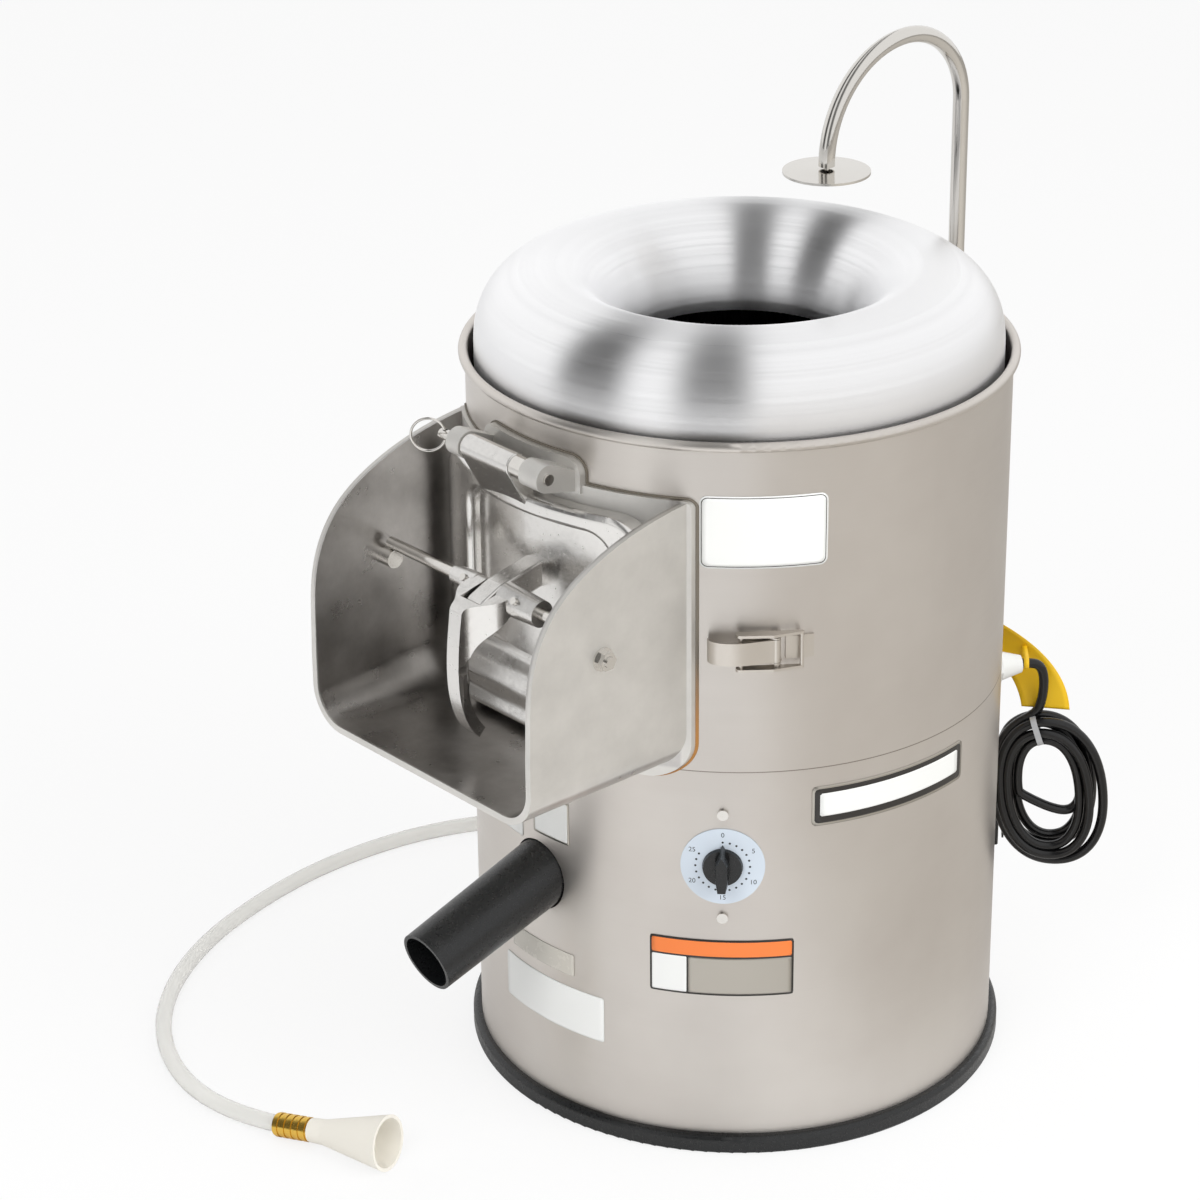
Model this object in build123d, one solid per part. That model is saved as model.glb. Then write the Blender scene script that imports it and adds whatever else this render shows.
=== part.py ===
"""Bench-top electric potato peeler: a round stainless drum with a cast discharge chute.

Millimetres.  +Z is up and z = 0 is the bench.  The Z axis is the drum's axis.
The discharge chute faces -Y, and +X is to the right of somebody facing the chute.
Angles round the drum are measured from -Y towards +X.
"""
from build123d import *
import math
import os

os.makedirs("parts", exist_ok=True)

# --- Clearances ---------------------------------------------------------------------------
SEAT = 0.1                 # between fixed pieces on curved faces
CLEAR = 0.3                # between pieces that move past each other
RUN = 0.05                 # radial clearance of a shaft or pin in its bore

# --- Drum ---------------------------------------------------------------------------------
DRUM_R = 197.0             # outside radius of both shells
SHEET = 1.5                # stainless sheet
SEAM_Z = 311.0             # where the base shell meets the hopper shell
BEAD_Z = 556.4             # centre of the rolled rim
BEAD_PITCH_R = DRUM_R + 1.2
BEAD_R = 3.5

# --- Rubber base ring and base plate --------------------------------------------------------
RING_R = DRUM_R + 6.6
RING_H = 14.0
RING_FOOT_T = 6.0
RING_INNER_R = DRUM_R - 25.0
RING_ROUND = 4.0
BOLT_CIRCLE_R = DRUM_R - 14.0      # screw-down holes
BOLT_COUNT = 4
BOLT_HOLE_R = 4.5
PLATE_T = 2.5

# --- Cast hopper floor ----------------------------------------------------------------------
PAN_FLOOR_Z = 192.0        # inside of the bowl
PAN_T = 5.0
PAN_FLOOR_R = DRUM_R - 57.0
PAN_WALL_R = DRUM_R - 47.0      # inside of the bowl wall at its top
PAN_WALL_Z = 285.0
LEDGE_Z = 300.0            # the liner stands here
LEDGE_R = DRUM_R - 12.0
LIP_Z = 316.0
PAN_HUB_R = 20.0
PAN_HUB_Z = 250.0
PAN_HUB_BORE_R = 12.0

# --- Drain ----------------------------------------------------------------------------------
DRAIN_Y = 2.1 - DRUM_R     # the drain axis crosses the drum wall here
DRAIN_Z = 195.8
DRAIN_FALL = 17.0          # degrees below level
DRAIN_BORE_R = 20.75
DRAIN_SOCKET_R = 21.6      # the wider bore that takes the spigot
DRAIN_ROOT_R = 25.6
DRAIN_END_R = 23.5
DRAIN_OUT = 113.4          # free length outside the drum
DRAIN_IN = 33.4            # length inside the drum
SPIGOT_BORE_R = 18.0
SPIGOT_IN = 64.0
SPIGOT_OUT = -12.0
CLAMP_W = 9.0
CLAMP_T = 1.2

# --- Peeling disc ---------------------------------------------------------------------------
DISC_R = DRUM_R - 13.0
DISC_Z = 306.0
DISC_T = 6.0
DISC_HUB_R = 26.0
DISC_HUB_H = 38.0
VANE_R = PAN_FLOOR_R - 6.0
VANE_Z = 204.0
VANE_T = 7.0
VANE_COUNT = 4
GRIT_T = 4.0
GRIT_INNER_R = 32.0
WAVE_COUNT = 4
WAVE_H = 6.0
WAVE_INNER_R = 48.0
NUT_FLAT_R = 14.0
NUT_H = 12.0

# --- Spindle and drive ----------------------------------------------------------------------
SPINDLE_R = 10.0
SPINDLE_TOP_R = 8.0
SPINDLE_SHOULDER_Z = 300.0
SPINDLE_TOP_Z = 321.0
SPINDLE_BOTTOM_Z = 24.0
HOUSING_R = 34.0
HOUSING_Z = 60.0
HOUSING_FLANGE_R = 62.0
HOUSING_FLANGE_T = 8.0
HOUSING_BORE_R = 14.0
BEARING_R = 23.5
BEARING_T = 14.0
SEAL_R = 16.0
SEAL_T = 7.0
PULLEY_Z = 30.0
PULLEY_T = 14.0
PULLEY_LIP = 2.0
MOTOR_PULLEY_R = 27.0
GROOVE_DEPTH = 8.0
DRIVEN_HUB_R = 20.0
MOTOR_HUB_R = 16.0
BELT_PROUD = 0.5           # the belt's back stands in from the pulley's edge by this

# --- Motor ----------------------------------------------------------------------------------
MOTOR_Y = DRUM_R - 89.0
DRIVEN_R = MOTOR_Y - 38.0  # leaves room for the motor pulley beside it
MOTOR_R = 61.0
MOTOR_BELL_R = 52.0
MOTOR_H = 112.0
MOTOR_DOME = 8.0
MOTOR_SHAFT_R = 7.0
MOTOR_SHAFT_IN = 34.0
FIN_COUNT = 18
FIN_R = 1.8
BRACKET_Z = 50.0           # underside of the bridge plate
BRACKET_T = 4.0
BRACKET_HALF_W = 78.0
BRACKET_HALF_D = 60.0
BRACKET_FOOT = 16.0
MOTOR_BOLT_SPACING = 66.0
MOTOR_BOLT_R = 3.0
MOTOR_BOLT_IN = 12.0
CAPACITOR_R = 20.0
CAPACITOR_H = 88.0
CAPACITOR_X = 73.0 - DRUM_R
CAPACITOR_Y = 40.0
TERMINAL_R = 3.0
TERMINAL_H = 8.0

# --- Timer ----------------------------------------------------------------------------------
TIMER_ANGLE = 43.9
TIMER_Z = 236.5
TIMER_W = 56.0
TIMER_H = 60.0
TIMER_D = 31.0
TIMER_SCREW_RISE = 41.4    # the two screws stand above and below the centre by this
TIMER_EAR_W = 18.0
TIMER_EAR_T = 2.0
TIMER_BOSS_R = 5.0
TIMER_SCREW_R = 1.8
TIMER_HEAD_R = 4.0
TIMER_HEAD_H = 2.2
DIAL_R = 30.0
DIAL_T = 0.7
KNOB_R = 14.5
KNOB_SKIRT = 3.0
KNOB_H = 16.0
KNOB_TIP = 17.5
KNOB_TAIL = 14.5
KNOB_TAIL_HALF_W = 4.0
KNOB_WAIST_HALF_W = 5.4
KNOB_SHAFT_R = 3.0
KNOB_SHAFT_IN = 14.0
KNOB_SHAFT_OUT = 12.0

# --- Discharge chute ------------------------------------------------------------------------
CHUTE_HALF_W = 120.0
CHUTE_WALL = 5.0
CHUTE_FLOOR_Z = 311.9      # underside
CHUTE_REACH = DRUM_R + 106.5
CHUTE_TOP_Z = 516.5
TROUGH_R = 30.0            # outside corner radius along the trough
# The cheeks' curved front edge: back from the mouth, and down from the top.
CHEEK_CURVE = ((105.2, 6.8), (58.0, 22.6), (24.1, 46.2), (5.6, 80.0), (0.8, 120.5), (0.0, 148.5))
FLANGE_T = 4.0
FLANGE_HALF_W = CHUTE_HALF_W + 2.7
FLANGE_Z = 305.3
FLANGE_TOP_Z = 517.0
FLANGE_CORNER_R = 28.0     # lower corners
FLANGE_TOP_CORNER_R = 6.0
HEADER_HALF_W = 51.0
HEADER_Z = 536.0
HEADER_T = 6.0
HEADER_CORNER_R = 12.0
OPENING_HALF_W = 96.0
OPENING_Z = 318.0
OPENING_TOP_Z = 503.0
OPENING_CORNER_R = 16.0
SEALANT_W = 1.2
SEALANT_T = 1.1
FRONT_NEAR = 47.0 - DRUM_R # blocks cut from the front run between these two planes
FRONT_FAR = -DRUM_R - 63.0

# --- Door and its hinge ---------------------------------------------------------------------
DOOR_HALF_W = 103.0
DOOR_Z = 320.8
DOOR_TOP_Z = 503.5
DOOR_CORNER_R = 25.0
DOOR_T = 4.2
DOOR_RIM_H = 9.5           # how far the frame stands out from the panel
CAST_EDGE_R = 2.0
RECESS_LEFT = -56.0
RECESS_RIGHT = 80.0
RECESS_Z = 374.0
RECESS_TOP_Z = 489.0
RECESS_CORNER_R = 18.0
BULGE_HALF_W = 60.0
BULGE_TOP_Z = 376.0
BULGE_Y = -DRUM_R - 16.0
BULGE_END_R = 12.0
BULGE_MARGIN = 14.0        # the frame is cut away round the bulge with this margin
BULGE_CUT_OVER = 30.0
BULGE_CUT_R = 20.0
HINGE_Y = -DRUM_R - 25.0
HINGE_Z = 528.0
BARREL_LEFT = -36.5
BARREL_RIGHT = 14.5
BARREL_R = 8.8
SPACER_RIGHT = 27.5
SPACER_R = 8.0
EAR_LEFT = -50.0
EAR_RIGHT = 47.0
EAR_R = 10.0
EAR_ROOT_Y = 9.0 - DRUM_R  # the ears are rooted this deep, before the drum's round is cut
EAR_ROOT_R = 4.0
EAR_ROOT_DROPS = (9.0, 14.0)
PIN_R = 4.0
PIN_LEFT = -66.0
PIN_RIGHT = 49.0
PIN_EYE_X = -62.0
PIN_EYE_R = 1.9
PULL_RING_R = 12.2
PULL_WIRE_R = 0.95
PULL_RING_TURN = 226.0     # direction from the eye to the ring's centre, from +X towards +Y

# --- Latch ----------------------------------------------------------------------------------
BAR_Y = -DRUM_R - 41.3
BAR_Z = 436.1
BAR_R = 4.3
BAR_HALF_L = CHUTE_HALF_W - 12.0
KEEPER_R = 7.0
KEEPER_IN = 12.0           # head length inside the cheek
KEEPER_SHANK_R = 3.9
KEEPER_WASHER_R = 8.5
KEEPER_WASHER_T = 1.5
KEEPER_NUT_R = 7.0
KEEPER_NUT_T = 5.5
KEEPER_TAIL = 2.0
LUG_LEFT = 2.0
LUG_RIGHT = 19.0
LUG_END = 22.5             # reach of the lug's nose beyond the bar's axis
LUG_R = 9.5
BOSS_R = 8.0
BOSS_END_R = 6.8           # the left boss narrows to this
THICK_BOSS_R = 11.6
THICK_BOSS_END_R = 9.6     # the right boss narrows to this
BOSS_LEFT = -34.0
BOSS_RIGHT = 58.0
SLOT_LEFT = 0.0
SLOT_RIGHT = 21.0
SLOT_R = 24.5
ARM_W = 12.0
YOKE_REACH = 31.0
YOKE_DROP = 5.0
YOKE_R = 5.5
STRAP_LEFT = 2.0
STRAP_RIGHT = 15.5
GRIP_OUTSIDE = ((39.3, 29.1), (40.1, 52.1), (35.8, 81.1), (23.2, 101.7))    # out from the bar and down
GRIP_INSIDE = ((17.7, 95.9), (28.1, 78.1), (32.7, 54.1), (31.1, 37.1), (23.7, 23.6), (11.7, 11.6))
GRIP_DROP = 111.1          # the handle is cut off this far below the bar
TAPER_DROPS = (12.1, 25.1, 37.1, 50.1)      # in front view the arms narrow to the grip over these
TAPER_OUTS = (10.7, 19.7, 29.7)             # and in top view over these
TAPER_TIP = 11.0
TAPER_EASE = 2.0           # how far the taper's curve stands off the grip's edge
ARM_SHOULDERS = (5.0, 6.0)                  # and off the left and right arms' edges, in front view
ARM_CHEEKS = (3.0, 5.0)                     # and in top view
SET_SCREW_X = (-17.0, 40.0)
SET_SCREW_R = 2.6
SET_SCREW_OUT = (10.5, 13.2)

# --- Side latch -----------------------------------------------------------------------------
SIDE_PIVOT_ANGLE = 54.2
SIDE_PIVOT_R = DRUM_R + 5.6
SIDE_Z = 399.4
SIDE_H = 17.0
SIDE_SHEET = 1.2
SIDE_PIN_R = 1.5
SIDE_KNUCKLE_R = 3.0
SIDE_BAIL_ANGLE = 47.3
SIDE_BAIL_R = SIDE_PIVOT_R + 5.0
SIDE_BAIL_ARM = 2.0
SIDE_HOOK_ANGLE = 59.2
SIDE_KEEPER_FROM = 56.2
SIDE_KEEPER_TO = 62.0
# The lever's line in top view: out from the drum, and the angle round it.
SIDE_LEVER_LINE = ((8.2, 54.4), (9.6, 51.0), (12.6, 47.0), (12.8, 44.0), (9.0, 41.4), (4.2, 40.7))

# --- Liner and feed ring --------------------------------------------------------------------
LINER_R = DRUM_R - 6.8
LINER_T = 3.0
LINER_TOP_Z = 544.7
LINER_GAP = 4.0            # the liner's cut-out is wider than the opening by this each side
FEED_R = DRUM_R - 6.5
FEED_FOOT_Z = 562.0        # where the skirt turns into the crown
FEED_CREST_R = FEED_R - 59.5
FEED_CREST_Z = 618.0
THROAT_R = FEED_CREST_R - 46.0
THROAT_Z = 555.0
THROAT_LIP = 9.0
FEED_T = 2.0
CROWN_POWER = 2.3
FUNNEL_POWER = 1.6
CURVE_STEPS = 7

# --- Spray arm ------------------------------------------------------------------------------
PIPE_R = 6.0
PIPE_WALL = 1.0
PIPE_Y = DRUM_R + 28.0
PIPE_FOOT_Z = 150.0
PIPE_TOP_Z = 751.0         # axis at the top of the gooseneck
GOOSE_BACK_R = 60.0
GOOSE_FRONT_R = 79.0
SPRAY_Z = PIPE_TOP_Z - 83.0 # top of the spray disc
SPRAY_GAP = 2.0
SPRAY_R = 32.0
SPRAY_T = 1.8
SPRAY_STUD_R = 2.0
SPRAY_STUD_L = 16.0
CLIP_ZS = (330.0, 520.0)
CLIP_R = 9.5
CLIP_H = 16.0
CLIP_FOOT_W = 34.0
CLIP_FOOT_T = 2.5
COLLAR_R = 9.0
COLLAR_H = 5.0

# --- Faucet hose ----------------------------------------------------------------------------
HOSE_R = 6.35
HOSE_END = (-84.3, -366.4, 11.1)
HOSE_ROUTE = [
    (0, PIPE_Y, PIPE_FOOT_Z),
    (0, PIPE_Y, 100),
    (-14, PIPE_Y + 11, 48),
    (-58, 250, 13),
    (-112, 249, 6.6),
    (-168, 232, 6.5),
    (-222, 202, 6.6),
    (-272, 160, 6.5),
    (-318, 110, 6.6),
    (-356, 56, 6.5),
    (-381, -2, 6.6),
    (-391, -62, 6.5),
    (-390, -124, 6.6),
    (-378, -186, 6.5),
    (-358, -246, 6.6),
    (-325, -302, 6.5),
    (-280, -348, 6.6),
    (-226, -378, 6.5),
    (-170, -389, 6.6),
    (-114, -377.6, 7.17),
    HOSE_END,
]
FERRULE_R = 9.2
FERRULE_L = 30.0
FERRULE_RIB = 0.6
FERRULE_RIBS = 5
NOZZLE_DIR = (0.930, 0.349, 0.123)
FERRULE_GRIP = 14.0        # how much of the ferrule grips the hose; the rest holds the nozzle
NOZZLE_L = 66.0
NOZZLE_NECK_R = 9.0
NOZZLE_MOUTH_R = 21.0
NOZZLE_WALL = 2.6

# --- Mains cord -----------------------------------------------------------------------------
CORD_R = 3.75
GLAND_ANGLE = 150.0
GLAND_Z = 277.0
GLAND_OUT = 25.0
GLAND_HEX_R = 13.0
GLAND_HEX_L = 8.0
GLAND_DOME_R = 11.5
GLAND_THREAD_R = 9.9
GLAND_IN = 9.0
COIL_TURN = 46.5           # direction of the coil's flat face, from +X towards +Y
COIL_CENTRE = (122.4, 216.1, 167.0)
COIL_HALF_W = 44.0
COIL_HALF_H = 64.0
COIL_BUNDLE = 21.0
COIL_T = 24.0
CORD_ROUTE = [
    (111, 192.2, 277),
    (117.5, 203.4, 277),
    (123.6, 213, 270.5),
    (126.9, 218.7, 259.2),
    (126.9, 220.1, 246.2),
    (123.1, 216.9, 229),
]
TAIL_ROUTE = [
    (95.8, 202.7, 214),
    (86.0, 204.3, 201),
    (79.0, 206.2, 187),
    (79.0, 206.2, 176),
]
PLUG_R = 13.0
PLUG_L = 26.0
PLUG_RELIEF_R = 7.0
PLUG_RELIEF_L = 24.0
BLADE_L = 17.0
BLADE_W = 6.4
BLADE_T = 1.5
BLADE_SPACING = 12.7
EARTH_PIN_R = 2.4
TIE_W = 4.5
TIE_T = 1.0
TIE_ANGLE = 108.0
TAG_L = 84.0
TAG_W = 30.0
TAG_T = 0.6
TAG_CURL_R = 110.0
TAG_LEAN = 52.0            # the tag hangs this many degrees below level
TAG_SWING = 20.0           # turned this far from the coil's face, its near end forward
TAG_BEHIND = 20.2          # from the gland's end back to the tag
TAG_DROP = 15.0
STRAP_REACH = 22.0         # length of the paper strap's loop
STRAP_W = 6.0


# --- Small helpers --------------------------------------------------------------------------
def around(radius, angle, z=0.0):
    """The point at a radius and an angle round the drum, 0 at -Y, growing towards +X."""
    turn = math.radians(angle)
    return Vector(radius * math.sin(turn), -radius * math.cos(turn), z)


def wall_plane(radius, angle, z):
    """A plane square to the drum's radius: local x runs round the drum, y up, z outwards."""
    turn = math.radians(angle)
    along = (math.cos(turn), math.sin(turn), 0)
    outwards = (math.sin(turn), -math.cos(turn), 0)
    return Plane(origin=around(radius, angle, z), x_dir=along, z_dir=outwards)


def lathe(*outline):
    """A solid of revolution about Z, from a closed outline of (radius, z) points."""
    corners = [(radius, 0, z) for radius, z in outline]
    return revolve(make_face(Polyline(*corners, close=True)), Axis.Z)


def rod(radius, start, length):
    """A round bar along local z, from start, for length."""
    return Pos(0, 0, start) * Cylinder(radius, length, align=(Align.CENTER, Align.CENTER, Align.MIN))


def tube(outer, inner, start, length):
    """A round tube along local z."""
    return rod(outer, start, length) - rod(inner, start - 1, length + 2)


def cross_bar(radius, left, right, y, z):
    """A round bar along X."""
    return Plane(origin=(left, y, z), x_dir=(0, 1, 0), z_dir=(1, 0, 0)) * rod(radius, 0, right - left)


def across(profile, left, right):
    """A face drawn as (y, z) on the plane x = 0, extruded along X from left to right."""
    side = Plane(origin=(left, 0, 0), x_dir=(0, 1, 0), z_dir=(1, 0, 0))
    return extrude(side * profile, right - left)


def front_block(left, right, bottom, top, corner, near=FRONT_NEAR, far=FRONT_FAR):
    """A round-cornered block through the front of the drum, running along Y."""
    front = Plane(origin=((left + right) / 2, near, (bottom + top) / 2), x_dir=(1, 0, 0), z_dir=(0, -1, 0))
    return extrude(front * RectangleRounded(right - left, top - bottom, corner), near - far)


def curved_wall(outer, inner, bottom, top):
    """A drum wall between two radii and two heights."""
    return tube(outer, inner, bottom, top - bottom)


def strip(points, thickness):
    """A bent strip seen from above: a spline through (radius, angle) points, and its thickness."""
    outside = [around(radius, angle) for radius, angle in points]
    inside = [around(radius - thickness, angle) for radius, angle in reversed(points)]
    edges = [
        Spline(*outside),
        Line(outside[-1], inside[0]),
        Spline(*inside),
        Line(inside[-1], outside[0]),
    ]
    return make_face(Wire(edges))


def corner_radii(route):
    """The largest tangent arc at each corner: 0.45 of the shorter run over tan(half the turn)."""
    points = [Vector(*point) for point in route]
    radii = []
    for before, here, after in zip(points, points[1:], points[2:]):
        arriving = here - before
        leaving = after - here
        half_turn = math.radians(arriving.get_angle(leaving)) / 2
        radii.append(0.45 * min(arriving.length, leaving.length) / math.tan(half_turn))
    return radii


def cord_tube(name, route, radius):
    """A cord's plain tube: straight runs joined by tangent arcs."""
    radii = corner_radii(route)
    path = FilletPolyline(*route, radius=radii)
    start = Plane(origin=path @ 0, z_dir=path % 0)
    body = sweep(start * Circle(radius), path=path)
    expected = math.pi * radius**2 * path.length
    runs = [round((Vector(*b) - Vector(*a)).length) for a, b in zip(route, route[1:])]
    print(f"{name}: length {path.length:.0f}, radii {[round(r) for r in radii]}, runs {runs}")
    print(f"{name}: volume over section times length {body.volume / expected:.4f}")
    return body


# --- Base -----------------------------------------------------------------------------------
def bolt_holes(top):
    """The screw-down holes, cut through ring foot and base plate."""
    spots = PolarLocations(BOLT_CIRCLE_R, BOLT_COUNT, start_angle=45)
    return spots * rod(BOLT_HOLE_R, -1, top + 2)


def base_ring():
    """A moulded rubber ring: the shell stands on its foot, inside its wall."""
    wall_r = DRUM_R + SEAT
    corners = [
        (RING_INNER_R, 0, 0),
        (RING_R, 0, 0),
        (RING_R, 0, RING_H),
        (wall_r, 0, RING_H),
        (wall_r, 0, RING_FOOT_T),
        (RING_INNER_R, 0, RING_FOOT_T),
    ]
    section = make_face(Polyline(*corners, close=True))
    outer_corners = section.vertices().sort_by(Axis.X)[-2:]
    section = fillet(outer_corners.sort_by(Axis.Z)[-1], RING_ROUND)
    section = fillet(section.vertices().group_by(Axis.Z)[0].sort_by(Axis.X)[-1], RING_ROUND / 2)
    return revolve(section, Axis.Z) - bolt_holes(RING_FOOT_T)


def base_plate():
    """The floor of the machine space, resting on the ring's foot."""
    plate = rod(DRUM_R - SHEET - SEAT, RING_FOOT_T, PLATE_T)
    return plate - bolt_holes(RING_FOOT_T + PLATE_T)


def drain_plane():
    """Local z runs out along the drain axis, from where it crosses the drum wall."""
    fall = math.radians(DRAIN_FALL)
    outwards = (0, -math.cos(fall), -math.sin(fall))
    return Plane(origin=(0, DRAIN_Y, DRAIN_Z), x_dir=(1, 0, 0), z_dir=outwards)


def timer_plane(radius):
    """The plane square to the timer's shaft at a radius."""
    return wall_plane(radius, TIMER_ANGLE, TIMER_Z)


def base_shell():
    """The rolled lower drum, with holes for the drain, the timer and the cord gland."""
    shell = tube(DRUM_R, DRUM_R - SHEET, RING_FOOT_T, SEAM_Z - RING_FOOT_T)
    shell -= drain_plane() * rod(DRAIN_ROOT_R + 0.6, -30, 80)
    shell -= timer_plane(DRUM_R - 20) * rod(KNOB_SHAFT_R + 2, 0, 40)
    for rise in (-TIMER_SCREW_RISE, TIMER_SCREW_RISE):
        shell -= timer_plane(DRUM_R - 20) * Pos(0, rise, 0) * rod(TIMER_SCREW_R + 0.3, 0, 40)
    shell -= wall_plane(DRUM_R - 20, GLAND_ANGLE, GLAND_Z) * rod(GLAND_THREAD_R + SEAT, 0, 40)
    return shell


# --- Hopper floor and drain -----------------------------------------------------------------
def bowl_space():
    """The wet space inside the cast floor."""
    return lathe(
        (0, PAN_FLOOR_Z),
        (PAN_FLOOR_R, PAN_FLOOR_Z),
        (PAN_WALL_R, PAN_WALL_Z),
        (LEDGE_R, LEDGE_Z),
        (0, LEDGE_Z),
    )


def hopper_floor():
    """The cast floor: a bowl under the disc, a hub for the seal and a spigot for the drain tube."""
    lip_out = DRUM_R - SHEET - SEAT
    lip_in = LINER_R + SEAT
    pan = lathe(
        (0, PAN_FLOOR_Z - PAN_T),
        (PAN_FLOOR_R + PAN_T, PAN_FLOOR_Z - PAN_T),
        (PAN_WALL_R + PAN_T, PAN_WALL_Z - PAN_T),
        (lip_out - PAN_T, LEDGE_Z - PAN_T),
        (lip_out, LEDGE_Z - 2 * PAN_T),
        (lip_out, LIP_Z),
        (lip_in, LIP_Z),
        (lip_in, LEDGE_Z),
        (0, LEDGE_Z),
    )
    spigot = drain_plane() * rod(DRAIN_SOCKET_R - RUN, -SPIGOT_IN, SPIGOT_IN + SPIGOT_OUT)
    pan = pan + spigot - bowl_space()
    pan += rod(PAN_HUB_R, PAN_FLOOR_Z - PAN_T, PAN_HUB_Z - PAN_FLOOR_Z + PAN_T)
    pan -= rod(PAN_HUB_BORE_R, PAN_FLOOR_Z - 2 * PAN_T, PAN_HUB_Z)
    pan -= rod(SEAL_R + SEAT, PAN_HUB_Z - SEAL_T, SEAL_T + 1)
    return pan - drain_plane() * rod(SPIGOT_BORE_R, -SPIGOT_IN - 10, SPIGOT_IN + 20)


def drain_tube():
    """A moulded rubber tube, its socket pushed over the spigot; it tapers towards the free end."""
    whole = DRAIN_IN + DRAIN_OUT
    outside = Cone(DRAIN_ROOT_R, DRAIN_END_R, whole, align=(Align.CENTER, Align.CENTER, Align.MIN))
    socket_depth = DRAIN_IN + SPIGOT_OUT
    hollow = rod(DRAIN_BORE_R, socket_depth - 1, whole + 2) + rod(DRAIN_SOCKET_R, -1, socket_depth + 1)
    return drain_plane() * Pos(0, 0, -DRAIN_IN) * (outside - hollow)


def drain_clamp():
    """A worm-drive band round the tube where it covers the spigot."""
    band = tube(DRAIN_ROOT_R + SEAT + CLAMP_T, DRAIN_ROOT_R + SEAT, -DRAIN_IN + 3, CLAMP_W)
    screw_box = Pos(0, DRAIN_ROOT_R + CLAMP_T + 3, -DRAIN_IN + 3 + CLAMP_W / 2) * Box(14, 7, CLAMP_W)
    return drain_plane() * (band + screw_box)


# --- Peeling disc ---------------------------------------------------------------------------
def peeling_disc():
    """The cast disc: a flat plate, a hub on the spindle and vanes that sweep peel to the drain."""
    disc = rod(DISC_R, DISC_Z, DISC_T) + rod(DISC_HUB_R, DISC_Z - DISC_HUB_H, DISC_HUB_H)
    reach = VANE_R - DISC_HUB_R + 2
    vane = Pos(DISC_HUB_R - 2 + reach / 2, 0, (VANE_Z + DISC_Z) / 2) * Box(reach, VANE_T, DISC_Z - VANE_Z)
    foot_gap = Pos(DISC_HUB_R, 0, VANE_Z) * Box(24, 2 * VANE_T, 2 * (PAN_HUB_Z - VANE_Z) + 20)
    for turn in range(VANE_COUNT):
        disc += Rot(0, 0, 45 + turn * 360 / VANE_COUNT) * (vane - foot_gap)
    disc -= rod(SPINDLE_R + RUN, DISC_Z - DISC_HUB_H - 1, SPINDLE_SHOULDER_Z - DISC_Z + DISC_HUB_H + 1)
    return disc - rod(SPINDLE_TOP_R + RUN, SPINDLE_SHOULDER_Z - 1, 20)


def disc_abrasive():
    """The bonded grit: a flat layer with long rounded waves that tumble the potatoes."""
    floor_z = DISC_Z + DISC_T
    layer = tube(DISC_R, GRIT_INNER_R, floor_z, GRIT_T)
    length = DISC_R - 4 - WAVE_INNER_R
    out = Plane(origin=(WAVE_INNER_R, 0, floor_z + GRIT_T / 2), x_dir=(0, 1, 0), z_dir=(1, 0, 0))
    tall = GRIT_T / 2 + WAVE_H
    near = Ellipse(tall * 1.4, GRIT_T / 2 + 1.5)
    far = Pos(0, 0, length) * Ellipse(tall * 3.2, tall)
    wave = out * loft([near, far])
    under = Pos(0, 0, floor_z - 20) * Cylinder(DISC_R, 40)
    for turn in range(WAVE_COUNT):
        layer += Rot(0, 0, turn * 360 / WAVE_COUNT) * wave - under
    return layer


def disc_nut():
    """A domed cap nut that clamps the disc down on the spindle's shoulder."""
    base_z = DISC_Z + DISC_T
    hexagon = extrude(Pos(0, 0, base_z) * RegularPolygon(NUT_FLAT_R, 6), NUT_H)
    dome = Pos(0, 0, base_z + NUT_H - 4) * Sphere(NUT_FLAT_R - 2)
    above = rod(2 * NUT_FLAT_R, base_z + 4, 40)
    nut = hexagon + (dome & above)
    return nut - rod(SPINDLE_TOP_R + RUN, base_z - 1, SPINDLE_TOP_Z - base_z + 1.3)


def spindle():
    """The disc's shaft: a shoulder for the disc, a plain length for bearings, seal and pulley."""
    shaft = rod(SPINDLE_R, SPINDLE_BOTTOM_Z, SPINDLE_SHOULDER_Z - SPINDLE_BOTTOM_Z)
    return shaft + rod(SPINDLE_TOP_R, SPINDLE_SHOULDER_Z, SPINDLE_TOP_Z - SPINDLE_SHOULDER_Z)


def bearing_housing():
    """A flanged tube under the cast floor, bored for a bearing at each end."""
    top = PAN_FLOOR_Z - PAN_T
    body = rod(HOUSING_R, HOUSING_Z, top - HOUSING_Z)
    body += rod(HOUSING_FLANGE_R, top - HOUSING_FLANGE_T, HOUSING_FLANGE_T)
    body -= rod(HOUSING_BORE_R, HOUSING_Z - 1, top)
    body -= rod(BEARING_R + SEAT, HOUSING_Z - 1, BEARING_T + 1)
    return body - rod(BEARING_R + SEAT, top - BEARING_T, BEARING_T + 1)


def bearing(bottom):
    """A sealed ball bearing, drawn as its outer and inner ring with the shields between."""
    ring = tube(BEARING_R, SPINDLE_R + RUN, bottom, BEARING_T)
    groove = tube(BEARING_R - 3.5, SPINDLE_R + RUN + 3.5, 0, 1)
    return ring - Pos(0, 0, bottom) * groove - Pos(0, 0, bottom + BEARING_T - 1) * groove


def shaft_seal():
    """The lip seal in the hub of the cast floor."""
    return tube(SEAL_R, SPINDLE_R + RUN, PAN_HUB_Z - SEAL_T, SEAL_T)


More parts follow.
